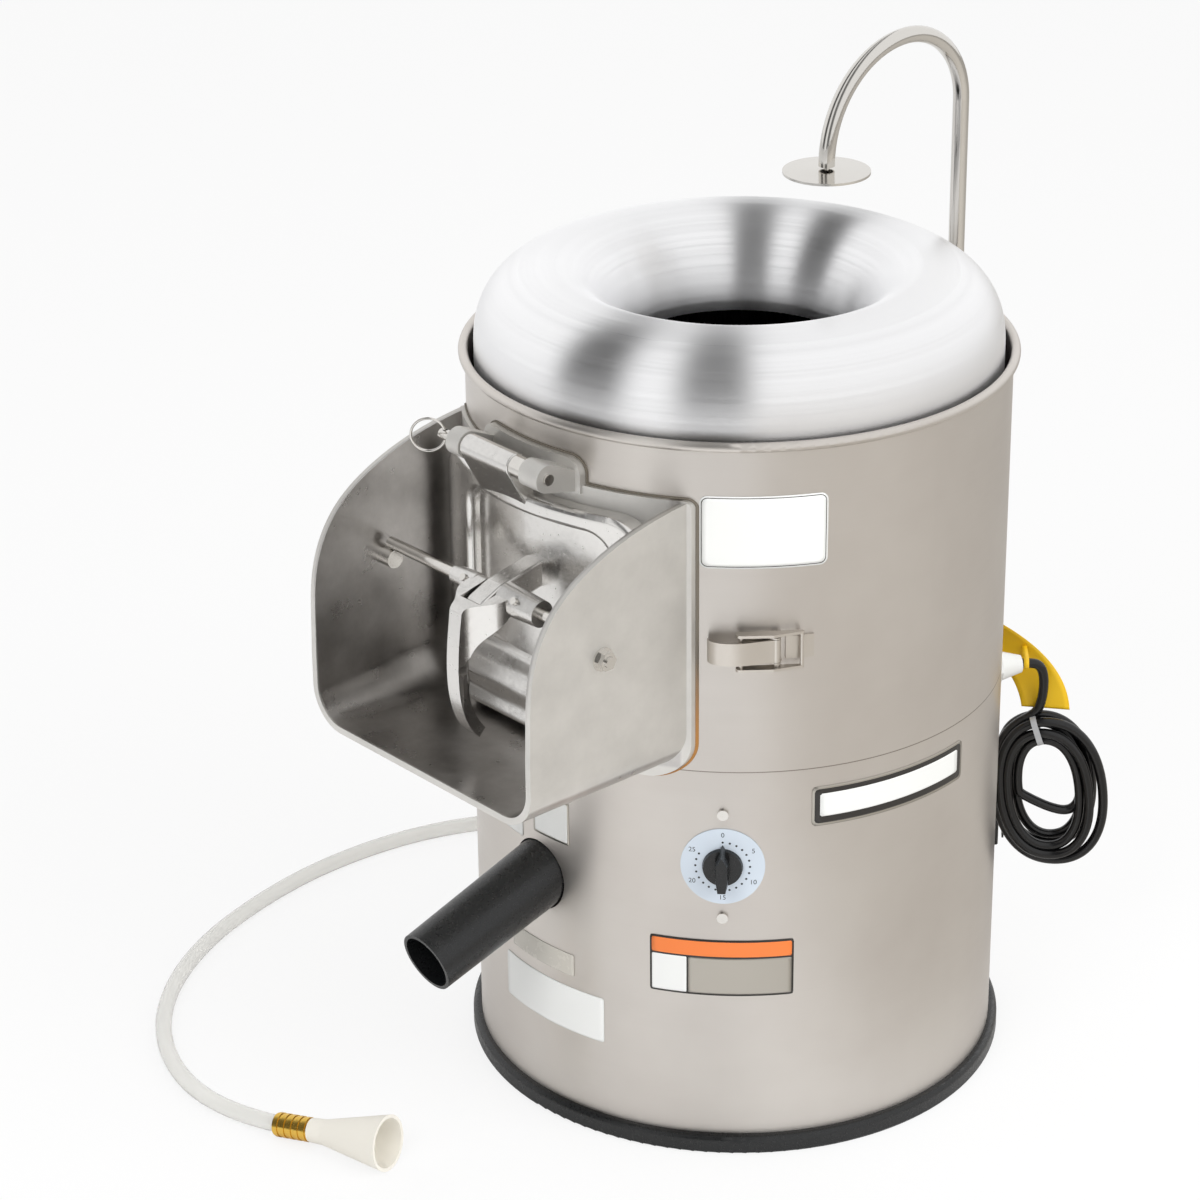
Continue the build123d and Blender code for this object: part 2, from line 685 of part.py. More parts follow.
def pulley(radius, bore, hub):
    """A belt pulley: a rim with a groove, a web and a hub."""
    top = PULLEY_Z + PULLEY_T
    groove_r = radius - GROOVE_DEPTH
    wheel = rod(radius, PULLEY_Z, PULLEY_T)
    cut_low = PULLEY_Z + PULLEY_LIP
    cut_high = top - PULLEY_LIP
    outer = radius + 1
    wheel -= lathe((groove_r, cut_low + 0.6), (outer, cut_low), (outer, cut_high), (groove_r, cut_high - 0.6))
    if groove_r - 4 > hub:
        wheel -= tube(groove_r - 4, hub, PULLEY_Z, PULLEY_T / 3)
        wheel -= tube(groove_r - 4, hub, top - PULLEY_T / 3, PULLEY_T / 3)
    return wheel - rod(bore + RUN, PULLEY_Z - 1, PULLEY_T + 2)


def drive_belt():
    """The belt that joins the motor pulley to the driven pulley, 0.3 mm clear of both grooves."""
    def loop(inset):
        big = Circle(DRIVEN_R - inset)
        small = Pos(0, MOTOR_Y) * Circle(MOTOR_PULLEY_R - inset)
        return make_hull(big.edges() + small.edges())
    section_h = PULLEY_T - 2 * PULLEY_LIP - 1.2 - 2 * CLEAR
    start = PULLEY_Z + (PULLEY_T - section_h) / 2
    band = loop(BELT_PROUD) - loop(GROOVE_DEPTH - CLEAR)
    return extrude(Pos(0, 0, start) * band, section_h)


# --- Motor ----------------------------------------------------------------------------------
def motor_spots():
    """The four motor bolts, square round the motor's axis."""
    return [
        (x * MOTOR_BOLT_SPACING / 2, MOTOR_Y + y * MOTOR_BOLT_SPACING / 2)
        for x in (-1, 1)
        for y in (-1, 1)
    ]


def motor_body():
    """The motor: a ribbed barrel between two end bells."""
    bottom = BRACKET_Z + BRACKET_T
    bell = 14.0
    body = rod(MOTOR_BELL_R, bottom, MOTOR_H) + rod(MOTOR_R, bottom + bell, MOTOR_H - 2 * bell)
    up = (Align.CENTER, Align.CENTER, Align.MIN)
    body += Pos(0, 0, bottom + MOTOR_H) * Cone(MOTOR_BELL_R, MOTOR_BELL_R - 16, MOTOR_DOME, align=up)
    fin = rod(FIN_R, bottom + bell + 6, MOTOR_H - 2 * bell - 12)
    fins = PolarLocations(MOTOR_R - FIN_R / 3, FIN_COUNT) * fin
    body = Pos(0, MOTOR_Y, 0) * (body + fins - rod(MOTOR_SHAFT_R + RUN, bottom - 1, MOTOR_SHAFT_IN + 1.5))
    for x, y in motor_spots():
        body -= Pos(x, y, 0) * rod(MOTOR_BOLT_R + SEAT, bottom - 1, MOTOR_BOLT_IN + 2)
    return body


def motor_shaft():
    """The motor's output shaft, pointing down."""
    top = BRACKET_Z + BRACKET_T + MOTOR_SHAFT_IN
    return Pos(0, MOTOR_Y, 0) * rod(MOTOR_SHAFT_R, SPINDLE_BOTTOM_Z, top - SPINDLE_BOTTOM_Z)


def motor_bracket():
    """A pressed bridge that stands on the base plate and carries the motor above the belt."""
    foot_z = RING_FOOT_T + PLATE_T
    depth = 2 * BRACKET_HALF_D
    top = Pos(0, MOTOR_Y, BRACKET_Z + BRACKET_T / 2) * Box(2 * BRACKET_HALF_W, depth, BRACKET_T)
    bridge = top
    for side in (-1, 1):
        leg_x = side * (BRACKET_HALF_W - BRACKET_T / 2)
        bridge += Pos(leg_x, MOTOR_Y, (foot_z + BRACKET_Z) / 2) * Box(BRACKET_T, depth, BRACKET_Z - foot_z)
        foot_x = side * (BRACKET_HALF_W + BRACKET_FOOT / 2)
        bridge += Pos(foot_x, MOTOR_Y - 10, foot_z + BRACKET_T / 2) * Box(BRACKET_FOOT, depth - 20, BRACKET_T)
    bridge -= Pos(0, MOTOR_Y, 0) * rod(MOTOR_SHAFT_R + 6, BRACKET_Z - 1, BRACKET_T + 2)
    for x, y in motor_spots():
        bridge -= Pos(x, y, 0) * rod(MOTOR_BOLT_R + SEAT, BRACKET_Z - 1, BRACKET_T + 2)
    return bridge


def motor_bolts():
    """Four bolts from under the bridge into the motor's lower bell."""
    bolts = []
    for x, y in motor_spots():
        head = extrude(Pos(x, y, BRACKET_Z - 4) * RegularPolygon(2 * MOTOR_BOLT_R, 6), 4)
        bolts.append(head + Pos(x, y, 0) * rod(MOTOR_BOLT_R, BRACKET_Z, BRACKET_T + MOTOR_BOLT_IN))
    return Compound(bolts)


def start_capacitor():
    """The start capacitor: a can standing on the base plate with two terminals."""
    bottom = RING_FOOT_T + PLATE_T
    can = rod(CAPACITOR_R, bottom, CAPACITOR_H)
    for x in (-7, 7):
        can += Pos(x, 0, 0) * rod(TERMINAL_R, bottom + CAPACITOR_H, TERMINAL_H)
    return Pos(CAPACITOR_X, CAPACITOR_Y, 0) * can


# --- Timer ----------------------------------------------------------------------------------
def timer_face_r():
    """Where the timer's flat front touches the inside of the round shell."""
    inside = DRUM_R - SHEET - SEAT
    return math.sqrt(inside**2 - (TIMER_W / 2) ** 2)


def timer_body():
    """The clockwork: a box with two ears, whose bosses reach the shell."""
    face = timer_face_r()
    box = Pos(0, 0, -TIMER_D / 2) * Box(TIMER_W, TIMER_H, TIMER_D)
    ears = Pos(0, 0, -TIMER_EAR_T / 2) * Box(TIMER_EAR_W, 2 * (TIMER_SCREW_RISE + 7), TIMER_EAR_T)
    body = box + ears
    inside = DRUM_R - SHEET - SEAT
    for rise in (-TIMER_SCREW_RISE, TIMER_SCREW_RISE):
        boss = rod(TIMER_BOSS_R, -TIMER_EAR_T, inside - face + TIMER_EAR_T - 0.1)
        hole = rod(TIMER_SCREW_R + SEAT, -9, 20)
        body = body + Pos(0, rise, 0) * boss - Pos(0, rise, 0) * hole
    body -= rod(KNOB_SHAFT_R + RUN, -KNOB_SHAFT_IN - 1.0, 40)
    return timer_plane(face) * body


def timer_dial():
    """The dial plate, bent to the shell."""
    sheet = curved_wall(DRUM_R + SEAT + DIAL_T, DRUM_R + SEAT, TIMER_Z - DIAL_R - 1, TIMER_Z + DIAL_R + 1)
    return (sheet & timer_plane(DRUM_R - 20) * rod(DIAL_R, 0, 40)) - timer_plane(DRUM_R - 20) * rod(6, 0, 40)


def knob_base_r():
    """Height of the knob's back face: just clear of the dial."""
    return DRUM_R + SEAT + DIAL_T + CLEAR


def timer_knob():
    """A round skirt with a pointer ridge that narrows to the tip and, less, to the tail."""
    skirt = extrude(Circle(KNOB_R), KNOB_SKIRT, taper=12)
    outline = Polyline(
        (0, KNOB_TIP),
        (-KNOB_WAIST_HALF_W, KNOB_TIP - 9),
        (-KNOB_WAIST_HALF_W, -KNOB_TAIL + 9),
        (-KNOB_TAIL_HALF_W, -KNOB_TAIL),
        (KNOB_TAIL_HALF_W, -KNOB_TAIL),
        (KNOB_WAIST_HALF_W, -KNOB_TAIL + 9),
        (KNOB_WAIST_HALF_W, KNOB_TIP - 9),
        close=True,
    )
    ridge = extrude(make_face(outline), KNOB_H, taper=5)
    hole = rod(KNOB_SHAFT_R + RUN, -1, KNOB_SHAFT_OUT + 1.2)
    return timer_plane(knob_base_r()) * (skirt + ridge - hole)


def timer_shaft():
    """The timer's shaft, from the clockwork into the knob."""
    start = timer_face_r() - KNOB_SHAFT_IN
    end = knob_base_r() + KNOB_SHAFT_OUT
    return timer_plane(start) * rod(KNOB_SHAFT_R, 0, end - start)


def timer_screws():
    """Two pan-head screws through the shell into the timer's bosses."""
    screws = []
    for rise in (-TIMER_SCREW_RISE, TIMER_SCREW_RISE):
        head = rod(TIMER_HEAD_R, SEAT, TIMER_HEAD_H)
        shank = rod(TIMER_SCREW_R, -10, 10 + SEAT)
        screws.append(timer_plane(DRUM_R) * Pos(0, rise, 0) * (head + shank))
    return Compound(screws)


# --- Discharge chute ------------------------------------------------------------------------
def cheek_outline():
    """Side view of the chute as (y, z): a long falling top edge, a round nose, a straight lip."""
    near = -150.0
    curve = Spline(
        (near, CHUTE_TOP_Z),
        *[(back - CHUTE_REACH, CHUTE_TOP_Z - drop) for back, drop in CHEEK_CURVE],
    )
    rest = Polyline(
        (-CHUTE_REACH, 368.0),
        (-CHUTE_REACH, CHUTE_FLOOR_Z - 1),
        (near, CHUTE_FLOOR_Z - 1),
        (near, CHUTE_TOP_Z),
    )
    return make_face([curve, *rest.edges()])


def trough():
    """The trough: a U section drawn out along -Y and cut to the cheeks' outline."""
    height = 2 * (CHUTE_TOP_Z - CHUTE_FLOOR_Z)
    outer = front_block(-CHUTE_HALF_W, CHUTE_HALF_W, CHUTE_FLOOR_Z, CHUTE_FLOOR_Z + height,
                        TROUGH_R, near=-150, far=-CHUTE_REACH - 5)
    inner = front_block(-CHUTE_HALF_W + CHUTE_WALL, CHUTE_HALF_W - CHUTE_WALL, CHUTE_FLOOR_Z + CHUTE_WALL,
                        CHUTE_FLOOR_Z + height, TROUGH_R - CHUTE_WALL, near=-140, far=-CHUTE_REACH - 10)
    return (outer - inner) & across(cheek_outline(), -CHUTE_HALF_W - 1, CHUTE_HALF_W + 1)


def flange_outline(grow=0.0):
    """A block with the outline of the mounting flange, grown all round."""
    front = Plane(origin=(0, -150, (FLANGE_TOP_Z + FLANGE_Z) / 2), x_dir=(1, 0, 0), z_dir=(0, -1, 0))
    sheet = Rectangle(2 * (FLANGE_HALF_W + grow), FLANGE_TOP_Z - FLANGE_Z + 2 * grow)
    sheet = fillet(sheet.vertices().group_by(Axis.Y)[0], FLANGE_CORNER_R + grow)
    sheet = fillet(sheet.vertices().group_by(Axis.Y)[-1], FLANGE_TOP_CORNER_R + grow)
    wide = extrude(front * sheet, 110)
    half_w = HEADER_HALF_W + grow
    middle = (FLANGE_Z + FLANGE_TOP_Z) / 2
    header = front_block(-half_w, half_w, middle, HEADER_Z + grow, HEADER_CORNER_R + grow)
    return wide + header


def opening_block(grow=0.0):
    """The doorway that shell, flange and liner share."""
    return front_block(-OPENING_HALF_W - grow, OPENING_HALF_W + grow, OPENING_Z, OPENING_TOP_Z + grow,
                       OPENING_CORNER_R)


def hinge_ear(left, right):
    """An ear that carries the hinge pin out from the header."""
    rounds = (Pos(HINGE_Y, HINGE_Z) * Circle(EAR_R)).edges()
    for drop in EAR_ROOT_DROPS:
        rounds += (Pos(EAR_ROOT_Y, HINGE_Z - drop) * Circle(EAR_ROOT_R)).edges()
    return across(make_hull(rounds), left, right)


def discharge_chute():
    """One aluminium casting: flange, trough, cheeks, header and hinge ears."""
    inner_r = DRUM_R + SEAT
    flange = curved_wall(inner_r + FLANGE_T, inner_r, FLANGE_Z - 1, HEADER_Z + 1) & flange_outline()
    header = curved_wall(inner_r + HEADER_T, inner_r, OPENING_TOP_Z + 8, HEADER_Z + 1)
    header = header & front_block(-HEADER_HALF_W, HEADER_HALF_W, FLANGE_Z, HEADER_Z, HEADER_CORNER_R)
    casting = flange + header + trough()
    casting += hinge_ear(EAR_LEFT, BARREL_LEFT - CLEAR)
    casting += hinge_ear(SPACER_RIGHT + CLEAR, EAR_RIGHT)
    casting -= rod(inner_r, 0, 3 * DRUM_R)
    casting -= opening_block()
    casting -= cross_bar(PIN_R + RUN, EAR_LEFT - 2, EAR_RIGHT + 2, HINGE_Y, HINGE_Z)
    keeper_z = BAR_Z - BAR_R - CLEAR - KEEPER_R
    return casting - cross_bar(KEEPER_SHANK_R + SEAT, -CHUTE_HALF_W - 1, CHUTE_HALF_W + 1, BAR_Y, keeper_z)


def chute_sealant():
    """The bead of sealant round the flange."""
    inner_r = DRUM_R + SEAT
    bead = curved_wall(inner_r + SEALANT_T, inner_r, FLANGE_Z - 10, HEADER_Z + 10)
    return (bead & flange_outline(SEALANT_W)) - flange_outline(SEAT)


def hopper_shell():
    """The rolled upper drum with its beaded rim and the doorway to the chute."""
    shell = tube(DRUM_R, DRUM_R - SHEET, SEAM_Z, BEAD_Z - SEAM_Z)
    shell += Pos(0, 0, BEAD_Z) * Torus(BEAD_PITCH_R, BEAD_R)
    return shell - opening_block()


# --- Door -----------------------------------------------------------------------------------
def door_back_r():
    """The door's back lies just off the flange."""
    return DRUM_R + SEAT + FLANGE_T + CLEAR


def door_bulge():
    """The thick lower part: three soft ridges with hollows between, rounded at both ends."""
    crest = Spline(
        (BULGE_Y + 17, BULGE_TOP_Z + 4),
        (BULGE_Y + 5.5, BULGE_TOP_Z - 3),
        (BULGE_Y + 4.5, BULGE_TOP_Z - 18),
        (BULGE_Y + 0.6, BULGE_TOP_Z - 31),
        (BULGE_Y + 3, BULGE_TOP_Z - 42),
        (BULGE_Y, DOOR_Z + 4),
        (BULGE_Y + 5, DOOR_Z),
    )
    inner = BULGE_Y + 28
    back = Polyline(crest @ 1, (inner, DOOR_Z), (inner, BULGE_TOP_Z + 4), crest @ 0)
    body = across(make_face([crest, *back.edges()]), -BULGE_HALF_W, BULGE_HALF_W)
    plan = Pos(0, BULGE_Y / 2 - 1) * RectangleRounded(2 * BULGE_HALF_W, -BULGE_Y + 2, BULGE_END_R)
    return body & extrude(Pos(0, 0, DOOR_Z - 1) * plan, BULGE_TOP_Z - DOOR_Z + 10)


def door_lug():
    """The lug that carries the latch bar out from the door's face."""
    profile = make_hull(
        (Pos(BULGE_Y + 13, BAR_Z + 7.9) * Circle(LUG_R)).edges()
        + (Pos(BAR_Y, BAR_Z) * Circle(LUG_R)).edges()
        + (Pos(BAR_Y - LUG_END + 7, BAR_Z - 3.5) * Circle(6.4)).edges()
    )
    lug = across(profile, LUG_LEFT, LUG_RIGHT)
    return fillet(lug.faces().filter_by(Axis.X).edges(), CAST_EDGE_R)


def door_arm():
    """The web between the hinge barrel and the door's top rib."""
    profile = make_hull(
        (Pos(HINGE_Y, HINGE_Z) * Circle(BARREL_R)).edges()
        + (Pos(HINGE_Y + 13.4, DOOR_TOP_Z - 8) * Circle(4.5)).edges()
    )
    arm = across(profile, BARREL_LEFT, BARREL_RIGHT)
    return fillet(arm.faces().filter_by(Axis.X).edges(), CAST_EDGE_R / 2)


def door_panel():
    """The cast door: a curved plate in a raised frame, with bulge, hinge barrel and latch lug."""
    back = door_back_r()
    face = back + DOOR_T
    outline = front_block(-DOOR_HALF_W, DOOR_HALF_W, DOOR_Z, DOOR_TOP_Z, DOOR_CORNER_R)
    plate = curved_wall(face, back, DOOR_Z - 1, DOOR_TOP_Z + 1) & outline
    frame = curved_wall(face + DOOR_RIM_H, face - 1, DOOR_Z - 1, DOOR_TOP_Z + 1) & outline
    recess = front_block(RECESS_LEFT, RECESS_RIGHT, RECESS_Z, RECESS_TOP_Z, RECESS_CORNER_R)
    gap = BULGE_HALF_W + BULGE_MARGIN
    foot = DOOR_Z - BULGE_CUT_OVER
    frame = frame - recess - front_block(-gap, gap, foot, RECESS_Z + BULGE_CUT_OVER, BULGE_CUT_R)
    crest = [edge for edge in frame.edges() if edge_radius(edge) > face + DOOR_RIM_H - 0.5]
    frame = fillet(crest, DOOR_RIM_H / 2)
    door = plate + frame + door_bulge() + door_lug() + door_arm()
    door -= rod(back, DOOR_Z - 10, DOOR_TOP_Z - DOOR_Z + 20)
    door -= cross_bar(PIN_R + RUN, BARREL_LEFT - 2, BARREL_RIGHT + 2, HINGE_Y, HINGE_Z)
    return door - cross_bar(BAR_R + RUN, LUG_LEFT - 2, LUG_RIGHT + 2, BAR_Y, BAR_Z)


def edge_radius(edge):
    """The smallest distance of an edge's ends and middle from the drum's axis."""
    return min(math.hypot((edge @ t).X, (edge @ t).Y) for t in (0.0, 0.5, 1.0))


def hinge_spacer():
    """A loose spacer between the barrel and the right ear."""
    ring = tube(SPACER_R, PIN_R + RUN, 0, SPACER_RIGHT - BARREL_RIGHT - CLEAR)
    return Plane(origin=(BARREL_RIGHT + CLEAR, HINGE_Y, HINGE_Z), x_dir=(0, 1, 0), z_dir=(1, 0, 0)) * ring


def hinge_pin():
    """The pull-out hinge pin, with an eye for its ring at the left end."""
    pin = cross_bar(PIN_R, PIN_LEFT, PIN_RIGHT, HINGE_Y, HINGE_Z)
    return pin - Pos(PIN_EYE_X, HINGE_Y, 0) * rod(PIN_EYE_R, HINGE_Z - 10, 20)


def pull_ring():
    """The wire ring through the pin's eye."""
    turn = math.radians(PULL_RING_TURN)
    out = (math.cos(turn), math.sin(turn), 0)
    centre = (PIN_EYE_X + PULL_RING_R * out[0], HINGE_Y + PULL_RING_R * out[1], HINGE_Z)
    flat = Plane(origin=centre, x_dir=out, z_dir=(-out[1], out[0], 0))
    return flat * Torus(PULL_RING_R, PULL_WIRE_R)


# --- Latch ----------------------------------------------------------------------------------
def latch_bar():
    """The round bar that crosses the chute and rests on the keeper bolts."""
    return cross_bar(BAR_R, -BAR_HALF_L, BAR_HALF_L, BAR_Y, BAR_Z)


def keeper_height():
    """Axis height of the keeper bolts: the bar lies just above their heads."""
    return BAR_Z - BAR_R - CLEAR - KEEPER_R


def keeper_bolts():
    """Two round-headed bolts through the cheeks."""
    bolts = []
    z = keeper_height()
    for side in (-1, 1):
        wall_in = side * (CHUTE_HALF_W - CHUTE_WALL)
        end = side * (CHUTE_HALF_W + KEEPER_WASHER_T + KEEPER_NUT_T + KEEPER_TAIL)
        head_end = wall_in - side * KEEPER_IN
        head = cross_bar(KEEPER_R, min(wall_in, head_end), max(wall_in, head_end), BAR_Y, z)
        shank = cross_bar(KEEPER_SHANK_R, min(wall_in, end), max(wall_in, end), BAR_Y, z)
        bolts.append(head + shank)
    return Compound(bolts)


def keeper_nuts():
    """A washer and a hexagon nut outside each cheek."""
    nuts = []
    for side in (-1, 1):
        seat = (side * CHUTE_HALF_W, BAR_Y, keeper_height())
        out = Plane(origin=seat, x_dir=(0, 1, 0), z_dir=(side, 0, 0))
        hexagon = extrude(Pos(0, 0, KEEPER_WASHER_T) * RegularPolygon(KEEPER_NUT_R, 6), KEEPER_NUT_T)
        nut = rod(KEEPER_WASHER_R, 0, KEEPER_WASHER_T) + hexagon
        nuts.append(out * (nut - rod(KEEPER_SHANK_R + SEAT, -1, 20)))
    return Compound(nuts)


def handle_profile():
    """Side view of the handle: the arms at the bar, the bowed grip, and a web that fills the bend."""
    front = BAR_Y - YOKE_REACH - YOKE_R
    outside = [(BAR_Y - out, BAR_Z - drop) for out, drop in GRIP_OUTSIDE]
    inside = [(BAR_Y - out, BAR_Z - drop) for out, drop in GRIP_INSIDE]
    outside = Spline((front, BAR_Z - YOKE_DROP), *outside)
    inside = Spline(*inside, (BAR_Y, BAR_Z))
    tip = Line(outside @ 1, inside @ 0)
    top = Line(inside @ 1, outside @ 0)
    arms = make_hull(
        (Pos(BAR_Y, BAR_Z) * Circle(BOSS_R - 0.6)).edges()
        + (Pos(BAR_Y - YOKE_REACH, BAR_Z - YOKE_DROP) * Circle(YOKE_R)).edges()
    )
    return arms + make_face([outside, tip, inside, top])


def handle_front():
    """Front view of the handle as (x, z): as wide as both arms at the bar, narrowing to the grip."""
    left_edge = SLOT_LEFT - ARM_W
    right_edge = SLOT_RIGHT + ARM_W
    top = BAR_Z + SLOT_R
    high, upper, lower, low = [BAR_Z - drop for drop in TAPER_DROPS]
    left_arm = left_edge + ARM_SHOULDERS[0]
    right_arm = right_edge - ARM_SHOULDERS[1]
    left = Spline((left_edge, high), (left_arm, upper), (STRAP_LEFT - TAPER_EASE, lower), (STRAP_LEFT, low))
    right = Spline((STRAP_RIGHT, low), (STRAP_RIGHT + TAPER_EASE, lower), (right_arm, upper), (right_edge, high))
    end = BAR_Z - GRIP_DROP
    foot = Polyline(left @ 1, (STRAP_LEFT, end), (STRAP_RIGHT, end), right @ 0)
    head = Polyline(right @ 1, (right_edge, top), (left_edge, top), left @ 0)
    return make_face([left, *foot.edges(), right, *head.edges()])


def handle_plan():
    """Top view of the handle as (x, y): two arms that curve together into the grip."""
    left_edge = SLOT_LEFT - ARM_W
    right_edge = SLOT_RIGHT + ARM_W
    tip = BAR_Y - YOKE_REACH - TAPER_TIP
    near, middle, far = [BAR_Y - out for out in TAPER_OUTS]
    left_arm = left_edge + ARM_CHEEKS[0]
    right_arm = right_edge - ARM_CHEEKS[1]
    left = Spline((left_edge, near), (left_arm, middle), (STRAP_LEFT - TAPER_EASE, far), (STRAP_LEFT, tip))
    right = Spline((STRAP_RIGHT, tip), (STRAP_RIGHT + ARM_CHEEKS[0], far), (right_arm, middle), (right_edge, near))
    end = Line(left @ 1, right @ 0)
    inner = BAR_Y + SLOT_R
    back = Polyline(right @ 1, (right_edge, inner), (left_edge, inner), left @ 0)
    return make_face([left, end, right, *back.edges()])


def latch_handle():
    """The cast handle: a boss each side of the lug, arms round the lug's nose, and the grip."""
    left_edge = SLOT_LEFT - ARM_W
    right_edge = SLOT_RIGHT + ARM_W
    front = Plane(origin=(0, BAR_Y + SLOT_R, 0), x_dir=(1, 0, 0), z_dir=(0, -1, 0))
    casting = across(handle_profile(), left_edge, right_edge) & extrude(front * handle_front(), 4 * SLOT_R)
    casting = casting & extrude(Pos(0, 0, BAR_Z - GRIP_DROP) * handle_plan(), GRIP_DROP + SLOT_R)
    bar = Plane(origin=(left_edge + 2, BAR_Y, BAR_Z), x_dir=(0, 1, 0), z_dir=(-1, 0, 0))
    ends = (Align.CENTER, Align.CENTER, Align.MIN)
    casting += bar * Cone(BOSS_R, BOSS_END_R, left_edge + 2 - BOSS_LEFT, align=ends)
    bar = Plane(origin=(SLOT_RIGHT, BAR_Y, BAR_Z), x_dir=(0, 1, 0), z_dir=(1, 0, 0))
    casting += bar * Cone(THICK_BOSS_R, THICK_BOSS_END_R, BOSS_RIGHT - SLOT_RIGHT, align=ends)
    casting -= cross_bar(SLOT_R, SLOT_LEFT, SLOT_RIGHT, BAR_Y, BAR_Z)
    casting -= cross_bar(BAR_R + RUN, BOSS_LEFT - 1, BOSS_RIGHT + 1, BAR_Y, BAR_Z)
    for spot in set_screw_planes():
        casting -= spot * rod(SET_SCREW_R + SEAT, BAR_R - 1, 20)
    return casting


def set_screw_planes():
    """Where the set screws enter the bosses: square to the bar, out and up."""
    lean = math.radians(35)
    out = (0, -math.cos(lean), math.sin(lean))
    return [Plane(origin=(x, BAR_Y, BAR_Z), x_dir=(1, 0, 0), z_dir=out) for x in SET_SCREW_X]


def latch_set_screws():
    """Two set screws that lock the handle to the bar."""
    start = BAR_R + SEAT
    screws = zip(set_screw_planes(), SET_SCREW_OUT)
    return Compound([spot * rod(SET_SCREW_R, start, out - start) for spot, out in screws])


# --- Side latch -----------------------------------------------------------------------------
def side_latch_base():
    """The riveted base: a curved plate and two ears for the lever's pin."""
    top = SIDE_Z + SIDE_H
    plate = curved_wall(DRUM_R + SEAT + SIDE_SHEET, DRUM_R + SEAT, SIDE_Z - 4, top + 4)
    window = wall_plane(DRUM_R - 20, 51.5, SIDE_Z + SIDE_H / 2)
    plate = plate & window * Pos(0, 0, 20) * Box(26, SIDE_H + 7, 40)
    pivot = around(SIDE_PIVOT_R, SIDE_PIVOT_ANGLE)
    ear = make_hull(
        (Pos(pivot.X, pivot.Y) * Circle(SIDE_KNUCKLE_R)).edges()
        + (Pos(*around(DRUM_R + 1.2, 50.6)) * Circle(0.9)).edges()
        + (Pos(*around(DRUM_R + 1.2, 55.2)) * Circle(0.9)).edges()
    )
    gap = CLEAR
    ears = extrude(Pos(0, 0, SIDE_Z - gap - SIDE_SHEET) * ear, SIDE_SHEET)
    ears += extrude(Pos(0, 0, top + gap) * ear, SIDE_SHEET)
    base = plate + ears
    return base - Pos(pivot.X, pivot.Y, 0) * rod(SIDE_PIN_R + RUN, SIDE_Z - 10, SIDE_H + 20)


def side_latch_pin():
    """The lever's hinge pin, riveted over at both ends."""
    pivot = around(SIDE_PIVOT_R, SIDE_PIVOT_ANGLE)
    reach = SIDE_SHEET + CLEAR
    pin = rod(SIDE_PIN_R, SIDE_Z - reach - 1, SIDE_H + 2 * reach + 2)
    pin += rod(2.4, SIDE_Z - reach - 1.6, 1.2) + rod(2.4, SIDE_Z + SIDE_H + reach + 0.4, 1.2)
    return Pos(pivot.X, pivot.Y, 0) * pin


def side_latch_lever():
    """The bowed lever, with a knuckle on the hinge pin and a finger curl at its free end."""
    pivot = around(SIDE_PIVOT_R, SIDE_PIVOT_ANGLE)
    outline = strip(
        [(DRUM_R + out, angle) for out, angle in SIDE_LEVER_LINE],
        SIDE_SHEET,
    )
    lever = extrude(Pos(0, 0, SIDE_Z) * outline, SIDE_H)
    lever += Pos(pivot.X, pivot.Y, 0) * rod(SIDE_KNUCKLE_R, SIDE_Z, SIDE_H)
    return lever - Pos(pivot.X, pivot.Y, 0) * rod(SIDE_PIN_R + RUN, SIDE_Z - 1, SIDE_H + 2)


def side_latch_bail():
    """The hook plates above and below the lever, joined by a pin through the lever's bow."""
    pivot = around(SIDE_BAIL_R - 2.6, SIDE_BAIL_ANGLE)
    hook = around(DRUM_R + 6.4, SIDE_HOOK_ANGLE)
    mid = around(DRUM_R + 9.0, 53.5)
    arm = make_hull(
        (Pos(pivot.X, pivot.Y) * Circle(3.6)).edges()
        + (Pos(mid.X, mid.Y) * Circle(2.6)).edges()
        + (Pos(hook.X, hook.Y) * Circle(1.4)).edges()
    )
    lift = SIDE_SHEET + 2 * CLEAR + 1.6
    upper = extrude(Pos(0, 0, SIDE_Z + SIDE_H + lift) * arm, SIDE_BAIL_ARM)
    lower = extrude(Pos(0, 0, SIDE_Z - lift - SIDE_BAIL_ARM) * arm, SIDE_BAIL_ARM)
    low = SIDE_Z - lift - SIDE_BAIL_ARM
    span = SIDE_H + 2 * lift + 2 * SIDE_BAIL_ARM
    pin = Pos(pivot.X, pivot.Y, 0) * rod(SIDE_PIN_R, low, span)
    claw = Pos(hook.X, hook.Y, 0) * rod(1.4, low, span)
    return upper + lower + pin + claw


def side_latch_keeper():
    """The keeper: a curved plate with a turned-out edge for the hook."""
    mid = (SIDE_KEEPER_FROM + SIDE_KEEPER_TO) / 2
    width = math.radians(SIDE_KEEPER_TO - SIDE_KEEPER_FROM) * DRUM_R
    plate = curved_wall(DRUM_R + SEAT + 2.2, DRUM_R + SEAT, SIDE_Z, SIDE_Z + SIDE_H)
    plate = plate & wall_plane(DRUM_R - 20, mid, SIDE_Z + SIDE_H / 2) * Pos(0, 0, 20) * Box(width, 40, 40)
    return plate


# --- Liner and feed ring --------------------------------------------------------------------
def hopper_liner():
    """The lift-out liner: a tube standing on the cast floor's ledge, cut away at the doorway."""
    sleeve = tube(LINER_R, LINER_R - LINER_T, LEDGE_Z, LINER_TOP_Z - LEDGE_Z)
    return sleeve - opening_block(LINER_GAP)


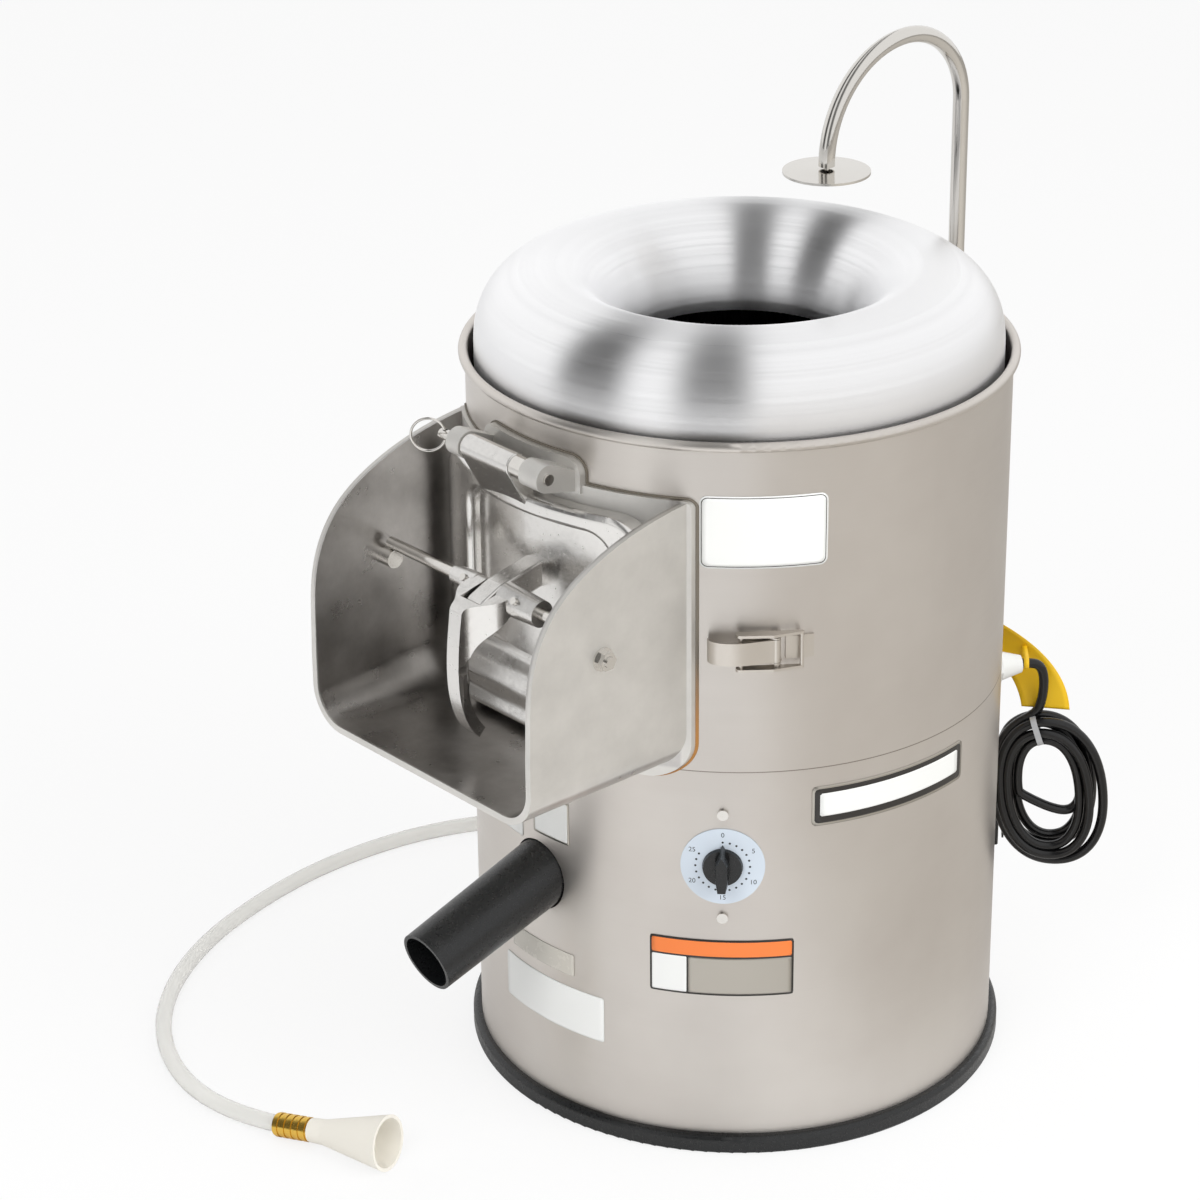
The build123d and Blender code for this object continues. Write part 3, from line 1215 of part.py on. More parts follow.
def crown(inset):
    """Points up the outside of the feed ring, from its skirt to its crest, inset by a thickness."""
    wide = FEED_R - inset - FEED_CREST_R
    tall = FEED_CREST_Z - inset - FEED_FOOT_Z
    points = []
    for step in range(CURVE_STEPS + 1):
        turn = math.pi / 2 * step / CURVE_STEPS
        r = FEED_CREST_R + wide * max(math.cos(turn), 0.0) ** (2 / CROWN_POWER)
        z = FEED_FOOT_Z + tall * math.sin(turn) ** (2 / CROWN_POWER)
        points.append((r, 0, z))
    return points


def funnel(inset):
    """Points down the inside of the feed ring, from its crest to its throat."""
    wide = FEED_CREST_R - THROAT_R - inset
    tall = FEED_CREST_Z - inset - THROAT_Z
    points = []
    for step in range(CURVE_STEPS + 1):
        turn = math.pi / 2 * step / CURVE_STEPS
        r = FEED_CREST_R - wide * math.sin(turn) ** (2 / FUNNEL_POWER)
        z = THROAT_Z + tall * max(math.cos(turn), 0.0) ** (2 / FUNNEL_POWER)
        points.append((r, 0, z))
    return points


def feed_ring():
    """The spun feed ring: a skirt inside the rim, a round crown and a funnel to the throat."""
    skirt_z = LINER_TOP_Z + SEAT
    lip_z = THROAT_Z - THROAT_LIP
    outer_crown, outer_funnel = crown(0), funnel(0)
    inner_crown, inner_funnel = crown(FEED_T), funnel(FEED_T)
    skin = [
        Line((FEED_R, 0, skirt_z), outer_crown[0]),
        Spline(*outer_crown, tangents=[(0, 0, 1), (-1, 0, 0)]),
        Spline(*outer_funnel, tangents=[(-1, 0, 0), (0, 0, -1)]),
        Line(outer_funnel[-1], (THROAT_R, 0, lip_z)),
        Line((THROAT_R, 0, lip_z), (THROAT_R + FEED_T, 0, lip_z)),
        Line((THROAT_R + FEED_T, 0, lip_z), inner_funnel[-1]),
        Spline(*reversed(inner_funnel), tangents=[(0, 0, 1), (1, 0, 0)]),
        Spline(*reversed(inner_crown), tangents=[(1, 0, 0), (0, 0, -1)]),
        Line(inner_crown[0], (FEED_R - FEED_T, 0, skirt_z)),
        Line((FEED_R - FEED_T, 0, skirt_z), (FEED_R, 0, skirt_z)),
    ]
    return revolve(make_face(skin), Axis.Z)


# --- Spray arm ------------------------------------------------------------------------------
def pipe_path(foot):
    """The gooseneck's centre line in the plane x = 0."""
    top_y = PIPE_Y - GOOSE_BACK_R
    back_z = PIPE_TOP_Z - GOOSE_BACK_R
    front_z = PIPE_TOP_Z - GOOSE_FRONT_R
    end_y = top_y - GOOSE_FRONT_R
    half = math.sqrt(0.5)
    back_mid = (0, top_y + GOOSE_BACK_R * half, back_z + GOOSE_BACK_R * half)
    front_mid = (0, top_y - GOOSE_FRONT_R * half, front_z + GOOSE_FRONT_R * half)
    rise = Line((0, PIPE_Y, foot), (0, PIPE_Y, back_z))
    back = ThreePointArc((0, PIPE_Y, back_z), back_mid, (0, top_y, PIPE_TOP_Z))
    front = ThreePointArc((0, top_y, PIPE_TOP_Z), front_mid, (0, end_y, front_z))
    drop = Line((0, end_y, front_z), (0, end_y, SPRAY_Z + SPRAY_GAP))
    return Wire([rise, back, front, drop])


def spray_pipe():
    """The bent pipe, with a stop collar that rests on the lower clip."""
    path = pipe_path(PIPE_FOOT_Z)
    foot = Plane(origin=(0, PIPE_Y, PIPE_FOOT_Z), z_dir=(0, 0, 1))
    pipe = sweep(foot * (Circle(PIPE_R) - Circle(PIPE_R - PIPE_WALL)), path=path)
    collar = tube(COLLAR_R, PIPE_R - PIPE_WALL / 2, CLIP_ZS[0] + CLIP_H / 2 + CLEAR, COLLAR_H)
    return pipe + Pos(0, PIPE_Y, 0) * collar


def spray_disc():
    """The spray disc: a thin round plate hung from the pipe's end by a stud and a cross bar."""
    centre_y = PIPE_Y - GOOSE_BACK_R - GOOSE_FRONT_R
    plate = lathe(
        (0, SPRAY_Z - SPRAY_T),
        (SPRAY_R, SPRAY_Z - SPRAY_T - 1.2),
        (SPRAY_R, SPRAY_Z - 1.2),
        (0, SPRAY_Z),
    )
    stud = rod(SPRAY_STUD_R, SPRAY_Z - SPRAY_T - 2.2, SPRAY_STUD_L)
    cap = rod(SPRAY_STUD_R + 1.6, SPRAY_Z - SPRAY_T - 2.4, 2.4)
    spider = Pos(0, 0, SPRAY_Z + 9) * Box(2 * (PIPE_R - PIPE_WALL) - 1, 2, 5)
    return Pos(0, centre_y, 0) * (plate + stud + cap + spider)


def pipe_clips():
    """Two stand-off clips behind the drum that hold the pipe and let it swivel."""
    clips = []
    for z in CLIP_ZS:
        low = z - CLIP_H / 2
        foot = curved_wall(DRUM_R + SEAT + CLIP_FOOT_T, DRUM_R + SEAT, low, low + CLIP_H)
        foot = foot & Pos(0, DRUM_R, z) * Box(CLIP_FOOT_W, CLIP_FOOT_W, CLIP_H)
        web = Pos(0, (DRUM_R + 1.5 + PIPE_Y) / 2, z) * Box(6, PIPE_Y - DRUM_R - 1.5, CLIP_H)
        eye = Pos(0, PIPE_Y, 0) * rod(CLIP_R, low, CLIP_H)
        clips.append(foot + web + eye - Pos(0, PIPE_Y, 0) * rod(PIPE_R + RUN, low - 1, CLIP_H + 2))
    return Compound(clips)


# --- Faucet hose ----------------------------------------------------------------------------
def nozzle_plane(distance):
    """Local z runs along the ferrule and nozzle, from the end of the hose."""
    start = Vector(*HOSE_END)
    along = Vector(*NOZZLE_DIR).normalized()
    return Plane(origin=start + along * distance, z_dir=along)


def hose_ferrule():
    """The crimped brass ferrule with its ribs."""
    body = rod(FERRULE_R - FERRULE_RIB, 0, FERRULE_L)
    pitch = FERRULE_L / FERRULE_RIBS
    for rib in range(FERRULE_RIBS):
        body += rod(FERRULE_R, rib * pitch + pitch / 4, pitch / 2)
    body -= rod(HOSE_R - 1.6, -1, FERRULE_L + 2)
    return nozzle_plane(-FERRULE_GRIP) * (body - rod(HOSE_R + SEAT, -1, FERRULE_GRIP + 1 + SEAT))


def faucet_nozzle():
    """The rubber cone that is pushed over a tap: a neck in the ferrule's end and an open mouth."""
    along = FERRULE_L - FERRULE_GRIP
    mouth_z = NOZZLE_L
    flare_z = 12.0
    bore = NOZZLE_NECK_R - NOZZLE_WALL
    body = lathe(
        (bore - 2, 0),
        (NOZZLE_NECK_R, 0),
        (NOZZLE_NECK_R + 0.6, flare_z),
        (NOZZLE_MOUTH_R, mouth_z),
        (NOZZLE_MOUTH_R - NOZZLE_WALL, mouth_z),
        (bore + 0.6, flare_z + 4),
        (bore - 2, flare_z),
    )
    return nozzle_plane(along) * body


# --- Mains cord -----------------------------------------------------------------------------
def gland_plane(radius):
    """The plane square to the cord gland's axis."""
    return wall_plane(radius, GLAND_ANGLE, GLAND_Z)


def cord_gland():
    """The plastic cord connector: thread and locknut inside, hexagon and dome outside."""
    hexagon = extrude(Pos(0, 0, SEAT) * RegularPolygon(GLAND_HEX_R, 6), GLAND_HEX_L)
    dome = Pos(0, 0, GLAND_HEX_L) * Cone(GLAND_DOME_R, CORD_R + 3, GLAND_OUT - GLAND_HEX_L,
                                         align=(Align.CENTER, Align.CENTER, Align.MIN))
    thread = rod(GLAND_THREAD_R, -GLAND_IN, GLAND_IN + 1)
    locknut = extrude(Pos(0, 0, -GLAND_IN + 1) * RegularPolygon(GLAND_HEX_R, 6), GLAND_IN - 4.2)
    body = hexagon + dome + thread + locknut
    return gland_plane(DRUM_R) * (body - rod(CORD_R + SEAT, -GLAND_IN - 1, 60))


def coil_plane():
    """Local x runs along the coil's width, y up; z is square to the coil's face."""
    turn = math.radians(COIL_TURN)
    return Plane(origin=COIL_CENTRE, x_dir=(math.cos(turn), math.sin(turn), 0),
                 z_dir=(math.sin(turn), -math.cos(turn), 0))


def cord_coil():
    """The tied coil of cord: an upright stadium ring with a rounded section."""
    outer = SlotOverall(2 * COIL_HALF_H, 2 * COIL_HALF_W)
    inner = SlotOverall(2 * (COIL_HALF_H - COIL_BUNDLE), 2 * (COIL_HALF_W - COIL_BUNDLE))
    flat = Rot(0, 0, 90) * (outer - inner)
    ring = Pos(0, 0, -COIL_T / 2) * extrude(flat, COIL_T)
    ring = fillet(ring.edges().filter_by(lambda edge: abs(abs(edge.center().Z) - COIL_T / 2) < 0.01), 8)
    return coil_plane() * ring


def power_plug():
    """A moulded three-pin plug with a tapered relief, hanging pins down behind the coil."""
    top = Vector(*TAIL_ROUTE[-1])
    relief = Cone(CORD_R + 2.2, PLUG_RELIEF_R, PLUG_RELIEF_L, align=(Align.CENTER, Align.CENTER, Align.MIN))
    body = extrude(RectangleRounded(2 * PLUG_R, 1.7 * PLUG_R, 7), PLUG_L)
    plug = relief + Pos(0, 0, PLUG_RELIEF_L) * body
    face = PLUG_RELIEF_L + PLUG_L
    for side in (-1, 1):
        blade = Box(BLADE_T, BLADE_W, BLADE_L, align=(Align.CENTER, Align.CENTER, Align.MIN))
        plug += Pos(side * BLADE_SPACING / 2, -3, face) * blade
    plug += Pos(0, 6, 0) * rod(EARTH_PIN_R, face, BLADE_L + 2)
    turn = math.radians(COIL_TURN)
    down = Plane(origin=top, x_dir=(math.cos(turn), math.sin(turn), 0), z_dir=(0, 0, -1))
    return down * plug


def cord_tie():
    """A twist tie round the coil, near its top."""
    turn = math.radians(TIE_ANGLE)
    rise = COIL_HALF_H - COIL_HALF_W
    mean = COIL_HALF_W - COIL_BUNDLE / 2
    spot = (mean * math.cos(turn), rise + mean * math.sin(turn), 0)
    outwards = (math.cos(turn), math.sin(turn), 0)
    section = Plane(origin=spot, x_dir=outwards, z_dir=(-math.sin(turn), math.cos(turn), 0))
    loop_w = COIL_BUNDLE + 2 * SEAT
    loop_t = COIL_T + 2 * SEAT
    outer = RectangleRounded(loop_w + 2 * TIE_T, loop_t + 2 * TIE_T, 6)
    inner = RectangleRounded(loop_w, loop_t, 5)
    band = Pos(0, 0, -TIE_W / 2) * extrude(outer - inner, TIE_W)
    return coil_plane() * (section * band)


def cord_tag():
    """The curled hang tag behind the cord, with a paper strap round the cord at the gland."""
    start = Vector(*CORD_ROUTE[0])
    out = (Vector(*CORD_ROUTE[1]) - start).normalized()
    turn = math.radians(COIL_TURN)
    sideways = Vector(math.cos(turn), math.sin(turn), 0)
    back = Vector(-math.sin(turn), math.cos(turn), 0)
    swing = math.radians(TAG_SWING)
    tag_side = sideways * math.cos(swing) - back * math.sin(swing)
    tag_back = back * math.cos(swing) + sideways * math.sin(swing)
    lie = Plane(origin=start + back * TAG_BEHIND - Vector(0, 0, TAG_DROP), x_dir=tag_side, z_dir=-tag_back)
    spread = math.degrees(TAG_L / TAG_CURL_R)
    arc = CenterArc((0, TAG_CURL_R), TAG_CURL_R, 270 - spread / 2, spread)
    inner_arc = CenterArc((0, TAG_CURL_R), TAG_CURL_R - TAG_T, 270 - spread / 2, spread)
    ends = [Line(arc @ 0, inner_arc @ 0), Line(arc @ 1, inner_arc @ 1)]
    curled = make_face([arc, inner_arc, *ends])
    side = Plane(origin=(0, 0, 0), x_dir=(1, 0, 0), z_dir=(0, 1, 0))
    sheet = Pos(0, TAG_W / 2, 0) * extrude(side * curled, -TAG_W)
    sheet = lie * Rot(0, 0, -TAG_LEAN) * sheet
    strap = Plane(origin=start + out * (STRAP_W / 2 + 1.5), x_dir=Vector(0, 0, 1), z_dir=out)
    hole_w = 2 * (CORD_R + SEAT)
    card = 2 * TAG_T
    middle = (hole_w + card - STRAP_REACH) / 2
    loop = RectangleRounded(hole_w + card, STRAP_REACH, 4)
    loop -= RectangleRounded(hole_w, STRAP_REACH - card, 3.4)
    band = Pos(0, middle, -STRAP_W / 2) * extrude(loop, STRAP_W)
    return sheet + strap * band


# --- All pieces -----------------------------------------------------------------------------
PIECES = {
    "base_ring": base_ring,
    "base_plate": base_plate,
    "base_shell": base_shell,
    "hopper_floor": hopper_floor,
    "drain_tube": drain_tube,
    "drain_clamp": drain_clamp,
    "peeling_disc": peeling_disc,
    "disc_abrasive": disc_abrasive,
    "disc_nut": disc_nut,
    "spindle": spindle,
    "bearing_housing": bearing_housing,
    "lower_bearing": lambda: bearing(HOUSING_Z),
    "upper_bearing": lambda: bearing(PAN_FLOOR_Z - PAN_T - BEARING_T),
    "shaft_seal": shaft_seal,
    "driven_pulley": lambda: pulley(DRIVEN_R, SPINDLE_R, DRIVEN_HUB_R),
    "motor_pulley": lambda: Pos(0, MOTOR_Y, 0) * pulley(MOTOR_PULLEY_R, MOTOR_SHAFT_R, MOTOR_HUB_R),
    "drive_belt": drive_belt,
    "motor_body": motor_body,
    "motor_shaft": motor_shaft,
    "motor_bracket": motor_bracket,
    "motor_bolts": motor_bolts,
    "start_capacitor": start_capacitor,
    "timer_body": timer_body,
    "timer_dial": timer_dial,
    "timer_knob": timer_knob,
    "timer_shaft": timer_shaft,
    "timer_screws": timer_screws,
    "hopper_shell": hopper_shell,
    "discharge_chute": discharge_chute,
    "chute_sealant": chute_sealant,
    "door_panel": door_panel,
    "hinge_spacer": hinge_spacer,
    "hinge_pin": hinge_pin,
    "pull_ring": pull_ring,
    "latch_bar": latch_bar,
    "keeper_bolts": keeper_bolts,
    "keeper_nuts": keeper_nuts,
    "latch_handle": latch_handle,
    "latch_set_screws": latch_set_screws,
    "side_latch_base": side_latch_base,
    "side_latch_pin": side_latch_pin,
    "side_latch_lever": side_latch_lever,
    "side_latch_bail": side_latch_bail,
    "side_latch_keeper": side_latch_keeper,
    "hopper_liner": hopper_liner,
    "feed_ring": feed_ring,
    "spray_pipe": spray_pipe,
    "spray_disc": spray_disc,
    "pipe_clips": pipe_clips,
    "water_hose": lambda: cord_tube("water_hose", HOSE_ROUTE, HOSE_R),
    "hose_ferrule": hose_ferrule,
    "faucet_nozzle": faucet_nozzle,
    "cord_gland": cord_gland,
    "power_cord": lambda: cord_tube("power_cord", CORD_ROUTE, CORD_R),
    "cord_coil": cord_coil,
    "cord_tail": lambda: cord_tube("cord_tail", TAIL_ROUTE, CORD_R),
    "power_plug": power_plug,
    "cord_tie": cord_tie,
    "cord_tag": cord_tag,
}

for name, make in PIECES.items():
    export_step(make(), f"parts/{name}.step")
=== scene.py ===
"""A bench-top electric potato peeler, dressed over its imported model.

Metres.  +Z is up and z = 0 is the bench.  The Z axis is the drum's axis and the discharge chute
faces -Y.  Angles round the drum are measured from -Y towards +X.
"""
import math

import bmesh
import bpy
import numpy as np
from mathutils import Matrix, Vector


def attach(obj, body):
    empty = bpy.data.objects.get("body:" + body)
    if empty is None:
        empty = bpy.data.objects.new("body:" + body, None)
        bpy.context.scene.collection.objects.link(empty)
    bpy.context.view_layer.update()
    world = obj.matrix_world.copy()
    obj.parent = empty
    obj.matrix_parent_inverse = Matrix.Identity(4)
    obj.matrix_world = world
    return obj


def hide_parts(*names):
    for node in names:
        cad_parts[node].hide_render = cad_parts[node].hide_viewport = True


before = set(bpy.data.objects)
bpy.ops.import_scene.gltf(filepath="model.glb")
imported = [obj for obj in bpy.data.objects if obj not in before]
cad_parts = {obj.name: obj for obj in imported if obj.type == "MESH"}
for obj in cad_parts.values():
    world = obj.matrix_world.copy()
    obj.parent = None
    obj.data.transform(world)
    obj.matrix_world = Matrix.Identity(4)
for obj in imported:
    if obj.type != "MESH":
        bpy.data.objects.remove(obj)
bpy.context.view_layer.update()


# --- Camera ---------------------------------------------------------------------------------
# A long lens, about 2.7 m from the drum's middle. It stands well above the rim and to the right
# of the chute, and looks down on the machine by 25 degrees.
CAMERA_PLACE = (1.7897, -1.6983, 1.4924)
CAMERA_TILT, CAMERA_ROLL, CAMERA_HEADING = (math.radians(turn) for turn in (65.212, -0.617, 48.862))
LENS_MM, SENSOR_MM, CAMERA_REACH = 109.84, 36.0, 60.0

lens = bpy.data.cameras.new("camera")
lens.lens = LENS_MM
lens.sensor_width = SENSOR_MM
lens.clip_end = CAMERA_REACH
camera = bpy.data.objects.new("camera", lens)
camera.matrix_world = (
    Matrix.Translation(CAMERA_PLACE)
    @ Matrix.Rotation(CAMERA_HEADING, 4, "Z")
    @ Matrix.Rotation(CAMERA_TILT, 4, "X")
    @ Matrix.Rotation(CAMERA_ROLL, 4, "Z")
)
bpy.context.scene.collection.objects.link(camera)
bpy.context.scene.camera = camera
bpy.context.scene.view_settings.view_transform = "Standard"


# --- Bench top and room ---------------------------------------------------------------------
# A wide white table that keeps the machine's soft shadow, in a pale room. Unseen by the camera,
# its far right is painted grey: a painted shade in the metal, which darkens round steel that way.
TABLE_HALF = 9.0
TABLE_GLOW = 0.80                   # share of plain white in what the eye sees of the table
REFLECTED_SHADE_EDGE = (0.10, 0.55)           # x + y where the painted grey begins, and where it is whole


def put(tree, kind, settings=None):
    """Adds a shader node. Settings are its attributes and its inputs, as values or sockets."""
    made = tree.nodes.new(kind)
    for key, value in (settings or {}).items():
        if isinstance(value, bpy.types.NodeSocket):
            tree.links.new(value, made.inputs[key])
        elif isinstance(key, int) or key in made.inputs:
            made.inputs[key].default_value = value
        else:
            setattr(made, key, value)
    return made


def tone(code):
    """A colour's sRGB hex code as linear red, green, blue and alpha."""
    parts = [int(code[place:place + 2], 16) / 255 for place in (0, 2, 4)]
    linear = [part / 12.92 if part <= 0.04045 else ((part + 0.055) / 1.055) ** 2.4 for part in parts]
    return [*linear, 1.0]


def sums(tree, operation, *terms):
    """The outcome of a maths node. Its terms are numbers or sockets."""
    return put(tree, "ShaderNodeMath", {"operation": operation, **dict(enumerate(terms))}).outputs[0]


def blend(tree, share, low, high):
    """A mix of two colours, each a hex code or a socket."""
    low, high = (tone(colour) if isinstance(colour, str) else colour for colour in (low, high))
    return put(tree, "ShaderNodeMix", {"data_type": "RGBA", 0: share, 6: low, 7: high}).outputs[2]


def ramp(tree, source, start, end, low=0.0, high=1.0, shape="LINEAR"):
    """Carries a value from one range to another and holds it there."""
    return put(tree, "ShaderNodeMapRange", {
        "interpolation_type": shape, "Value": source, "From Min": start, "From Max": end,
        "To Min": low, "To Max": high}).outputs[0]


def axes(tree):
    """The X, Y and Z of the point that is shaded, in the shared frame."""
    place = put(tree, "ShaderNodeTexCoord").outputs["Object"]
    return put(tree, "ShaderNodeSeparateXYZ", {0: place}).outputs


table_top = bpy.data.meshes.new("table_top")
table_corners = [(x * TABLE_HALF, y * TABLE_HALF, 0) for x, y in ((-1, -1), (1, -1), (1, 1), (-1, 1))]
table_top.from_pydata(table_corners, [], [(0, 1, 2, 3)])
table = bpy.data.objects.new("table_top", table_top)
bpy.context.scene.collection.objects.link(table)

laminate = bpy.data.materials.new("white_laminate")
laminate.use_nodes = True
tree = laminate.node_tree
tree.nodes.clear()
ray = put(tree, "ShaderNodeLightPath").outputs
place = axes(tree)
# Painted shade: to every ray but the camera's, the far right turns grey, to darken what the metal
# reflects.
far_right = ramp(tree, sums(tree, "ADD", place["X"], place["Y"]), *REFLECTED_SHADE_EDGE, shape="SMOOTHSTEP")
reflected_shade = sums(tree, "MULTIPLY", far_right, sums(tree, "SUBTRACT", 1.0, ray["Is Camera Ray"]))
matt = put(tree, "ShaderNodeBsdfDiffuse", {"Color": blend(tree, reflected_shade, "F4F4F4", "C6C2BC")})
glow = put(tree, "ShaderNodeEmission", {"Color": tone("FFFFFF"), "Strength": 1.0})
seen = sums(tree, "MAXIMUM", ray["Is Camera Ray"], ray["Is Transmission Ray"])
share = sums(tree, "MULTIPLY", seen, TABLE_GLOW)
both = put(tree, "ShaderNodeMixShader", {0: share, 1: matt.outputs[0], 2: glow.outputs[0]})
put(tree, "ShaderNodeOutputMaterial", {"Surface": both.outputs[0]})
table_top.materials.append(laminate)

# The room is a pale tent with dark gaps between its cloths. A gap lies along an arc over the
# machine: all directions whose middle with VIEWER, the direction to the camera, has one heading.
# A lathe-turned or brushed round part draws each arc into one upright band.
VIEWER = (0.659, -0.625, 0.419)
VIEWER_HEADING = 46.5
GAPS = ((-35.0, 8.5, 0.90), (-5.5, 8.0, 0.82))   # heading off the viewer, half width, depth
GAP_FADE = 0.5                                   # share of the half width over which it fades

room = bpy.data.worlds.new("room")
bpy.context.scene.world = room
room.use_nodes = True
tree = room.node_tree
tree.nodes.clear()
look = put(tree, "ShaderNodeTexCoord").outputs["Generated"]
middle = put(tree, "ShaderNodeVectorMath", {"operation": "ADD", 0: look, 1: VIEWER})
way = put(tree, "ShaderNodeSeparateXYZ", {0: middle.outputs[0]}).outputs
heading = sums(tree, "ARCTAN2", way["X"], sums(tree, "MULTIPLY", way["Y"], -1.0))
heading = sums(tree, "DEGREES", heading)
shades = []
for gap, half, depth in GAPS:
    off = sums(tree, "ABSOLUTE", sums(tree, "SUBTRACT", heading, gap + VIEWER_HEADING))
    rim, core = half * (1 + GAP_FADE), half * (1 - GAP_FADE)
    shades.append(ramp(tree, off, rim, core, 0.0, depth, "SMOOTHSTEP"))
walls = blend(tree, sums(tree, "MAXIMUM", *shades), "FFFFFF", "1C1B1A")
ray = put(tree, "ShaderNodeLightPath").outputs
seen = blend(tree, ray["Is Camera Ray"], walls, "FFFFFF")
air = put(tree, "ShaderNodeBackground", {"Color": seen, "Strength": 1.0})
put(tree, "ShaderNodeOutputWorld", {"Surface": air.outputs[0]})

# Two large soft lamps: one up and left of the camera, one round to its right. Metal shows the
# pale walls instead of the lamps, so no patch of it burns out.
LAMPS = {                       # place, side, watts
    "left_lamp": ((0.79, -2.16, 2.1), 1.15, 24.0),
    "right_lamp": ((2.25, 0.45, 1.9), 1.9, 34.0),
}
LAMP_AIM = Vector((0, 0, 0.3))
for name, (place, side, power) in LAMPS.items():
    lamp = bpy.data.lights.new(name, "AREA")
    lamp.shape = "SQUARE"
    lamp.size = side
    lamp.energy = power
    holder = bpy.data.objects.new(name, lamp)
    holder.visible_glossy = False
    holder.location = place
    holder.rotation_euler = (LAMP_AIM - Vector(place)).to_track_quat("-Z", "Y").to_euler()
    bpy.context.scene.collection.objects.link(holder)


# --- Drum -----------------------------------------------------------------------------------
# Two rolled shells of 1.5 mm stainless, the upper one with a beaded rim. The sheet has a fine
# grain along its length, so round the drum, which draws reflections out up and down.
SEAM_Z, SEAM_HALF = 0.311, 0.0004


def dress(material, *names):
    """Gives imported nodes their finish."""
    for name in names:
        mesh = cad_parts[name].data
        mesh.materials.clear()
        mesh.materials.append(material)


def surface(name, colour, values):
    """A material with a plain colour and the given values of its surface."""
    material = bpy.data.materials.new(name)
    material.use_nodes = True
    shader = material.node_tree.nodes["Principled BSDF"]
    for key, value in {"Base Color": tone(colour), **values}.items():
        shader.inputs[key].default_value = value
    return material, material.node_tree


def steer(tree, key, source):
    """Lets a pattern set one value of a material's surface."""
    tree.links.new(source, tree.nodes["Principled BSDF"].inputs[key])


def emboss(tree, source, strength, distance):
    """Raises a pattern as a fine relief."""
    relief = put(tree, "ShaderNodeBump", {"Strength": strength, "Distance": distance, "Height": source})
    steer(tree, "Normal", relief.outputs[0])


def metal(name, colour, roughness, grain=0.0, turned=False):
    """A bare metal: grain is its anisotropy, turned if its grooves run round the Z axis."""
    values = {"Metallic": 1.0, "Roughness": roughness, "Anisotropic": grain}
    if turned:
        values["Anisotropic Rotation"] = 0.25       # in turns
    material, tree = surface(name, colour, values)
    if turned:
        tangent = put(tree, "ShaderNodeTangent", {"direction_type": "RADIAL", "axis": "Z"})
        steer(tree, "Tangent", tangent.outputs[0])
    return material, tree


def grained(tree, stretch, scale, detail=3.0, rough=0.55):
    """A noise stretched by three factors, for grain, grime and casting skin."""
    place = put(tree, "ShaderNodeTexCoord").outputs["Object"]
    drawn = put(tree, "ShaderNodeMapping", {"Scale": stretch, "Vector": place}).outputs[0]
    return put(tree, "ShaderNodeTexNoise", {
        "Scale": scale, "Detail": detail, "Roughness": rough, "Vector": drawn}).outputs["Fac"]


def between(tree, noise, low, high):
    """A noise, whose values lie mostly from 0.3 to 0.7, brought to a range of values."""
    return ramp(tree, noise, 0.3, 0.7, low, high)


# The grain is drawn about 0.7 mm wide and 110 mm long, coarser than real, so that it shows.
sheet_steel, tree = metal("brushed_stainless_sheet", "DAD5CF", 0.38, 0.75, turned=True)
lines = grained(tree, (9, 9, 1400), 1.0)
cloud = grained(tree, (1, 1, 1), 9.0)
seam = sums(tree, "COMPARE", axes(tree)["Z"], SEAM_Z, SEAM_HALF)
hue = blend(tree, between(tree, cloud, 0.0, 1.0), "D3CDC7", "DBD6D0")
steer(tree, "Base Color", blend(tree, seam, hue, "9A928A"))
steer(tree, "Roughness", between(tree, lines, 0.35, 0.41))
emboss(tree, lines, 0.02, 0.0003)
dress(sheet_steel, "base_shell", "hopper_shell")


# --- Rubber parts ---------------------------------------------------------------------------
# The ring under the drum, the drain tube, the shaft seal and the belt: moulded black rubber,
# dull, with a slight mould texture and a soft sheen.
def skinned(name, colour, scale, detail, wear, relief):
    """A moulded or painted skin: one noise varies its roughness and is its relief."""
    material, tree = surface(name, colour, {})
    noise = grained(tree, (1, 1, 1), scale, detail)
    steer(tree, "Roughness", between(tree, noise, *wear))
    emboss(tree, noise, *relief)
    return material


def rubber(name, colour, roughness):
    """A moulded rubber with a fine skin."""
    return skinned(name, colour, 420.0, 2.0, (roughness - 0.06, roughness + 0.08), (0.15, 0.0004))


ring_rubber = rubber("moulded_black_rubber", "151617", 0.30)
dress(ring_rubber, "base_ring", "drain_tube", "shaft_seal", "drive_belt")


# --- Cast chute -----------------------------------------------------------------------------
# One aluminium casting. Its outside and edges are linished pale and even; the inside of the
# trough keeps the darker tumbled skin, with broad cloudy patches.
CHEEK_INNER = (0.1080, 0.1120)      # off the middle: from here on it is a cheek
CHEEK_OUTER = (0.1175, 0.1160)      # off the middle: within here it isn't the cheek's outside
FLOOR_TOP = (0.3500, 0.3400)        # height: below here it is the trough's floor
FLOOR_UNDER = (0.3135, 0.3155)      # height: above here it isn't the trough's underside
FRONT_LIP = (-0.3032, -0.3015)      # y: behind here it isn't the edge of the mouth


def level(tree, share, low, high):
    """A mix of two values, each a number or a socket."""
    return put(tree, "ShaderNodeMix", {"data_type": "FLOAT", 0: share, 2: low, 3: high}).outputs[0]


cast_skin, tree = metal("linished_cast_aluminium", "E0DEDA", 0.55)
place = axes(tree)
side = sums(tree, "ABSOLUTE", place["X"])
inside = sums(tree, "MAXIMUM", ramp(tree, side, *CHEEK_INNER), ramp(tree, place["Z"], *FLOOR_TOP))
for measure, edge in ((side, CHEEK_OUTER), (place["Z"], FLOOR_UNDER), (place["Y"], FRONT_LIP)):
    inside = sums(tree, "MULTIPLY", inside, ramp(tree, measure, *edge))
cloud = grained(tree, (1, 1, 1), 26.0, 4.0, 0.6)
fine = grained(tree, (1, 1, 1), 260.0, 3.0, 0.6)
stroke = grained(tree, (500, 500, 14), 1.0)
patch = between(tree, cloud, 0.0, 1.0)
dark, pale = blend(tree, patch, "ACA9A6", "CFCCC9"), blend(tree, patch, "DEDCD8", "EAE8E4")
steer(tree, "Base Color", blend(tree, inside, pale, dark))
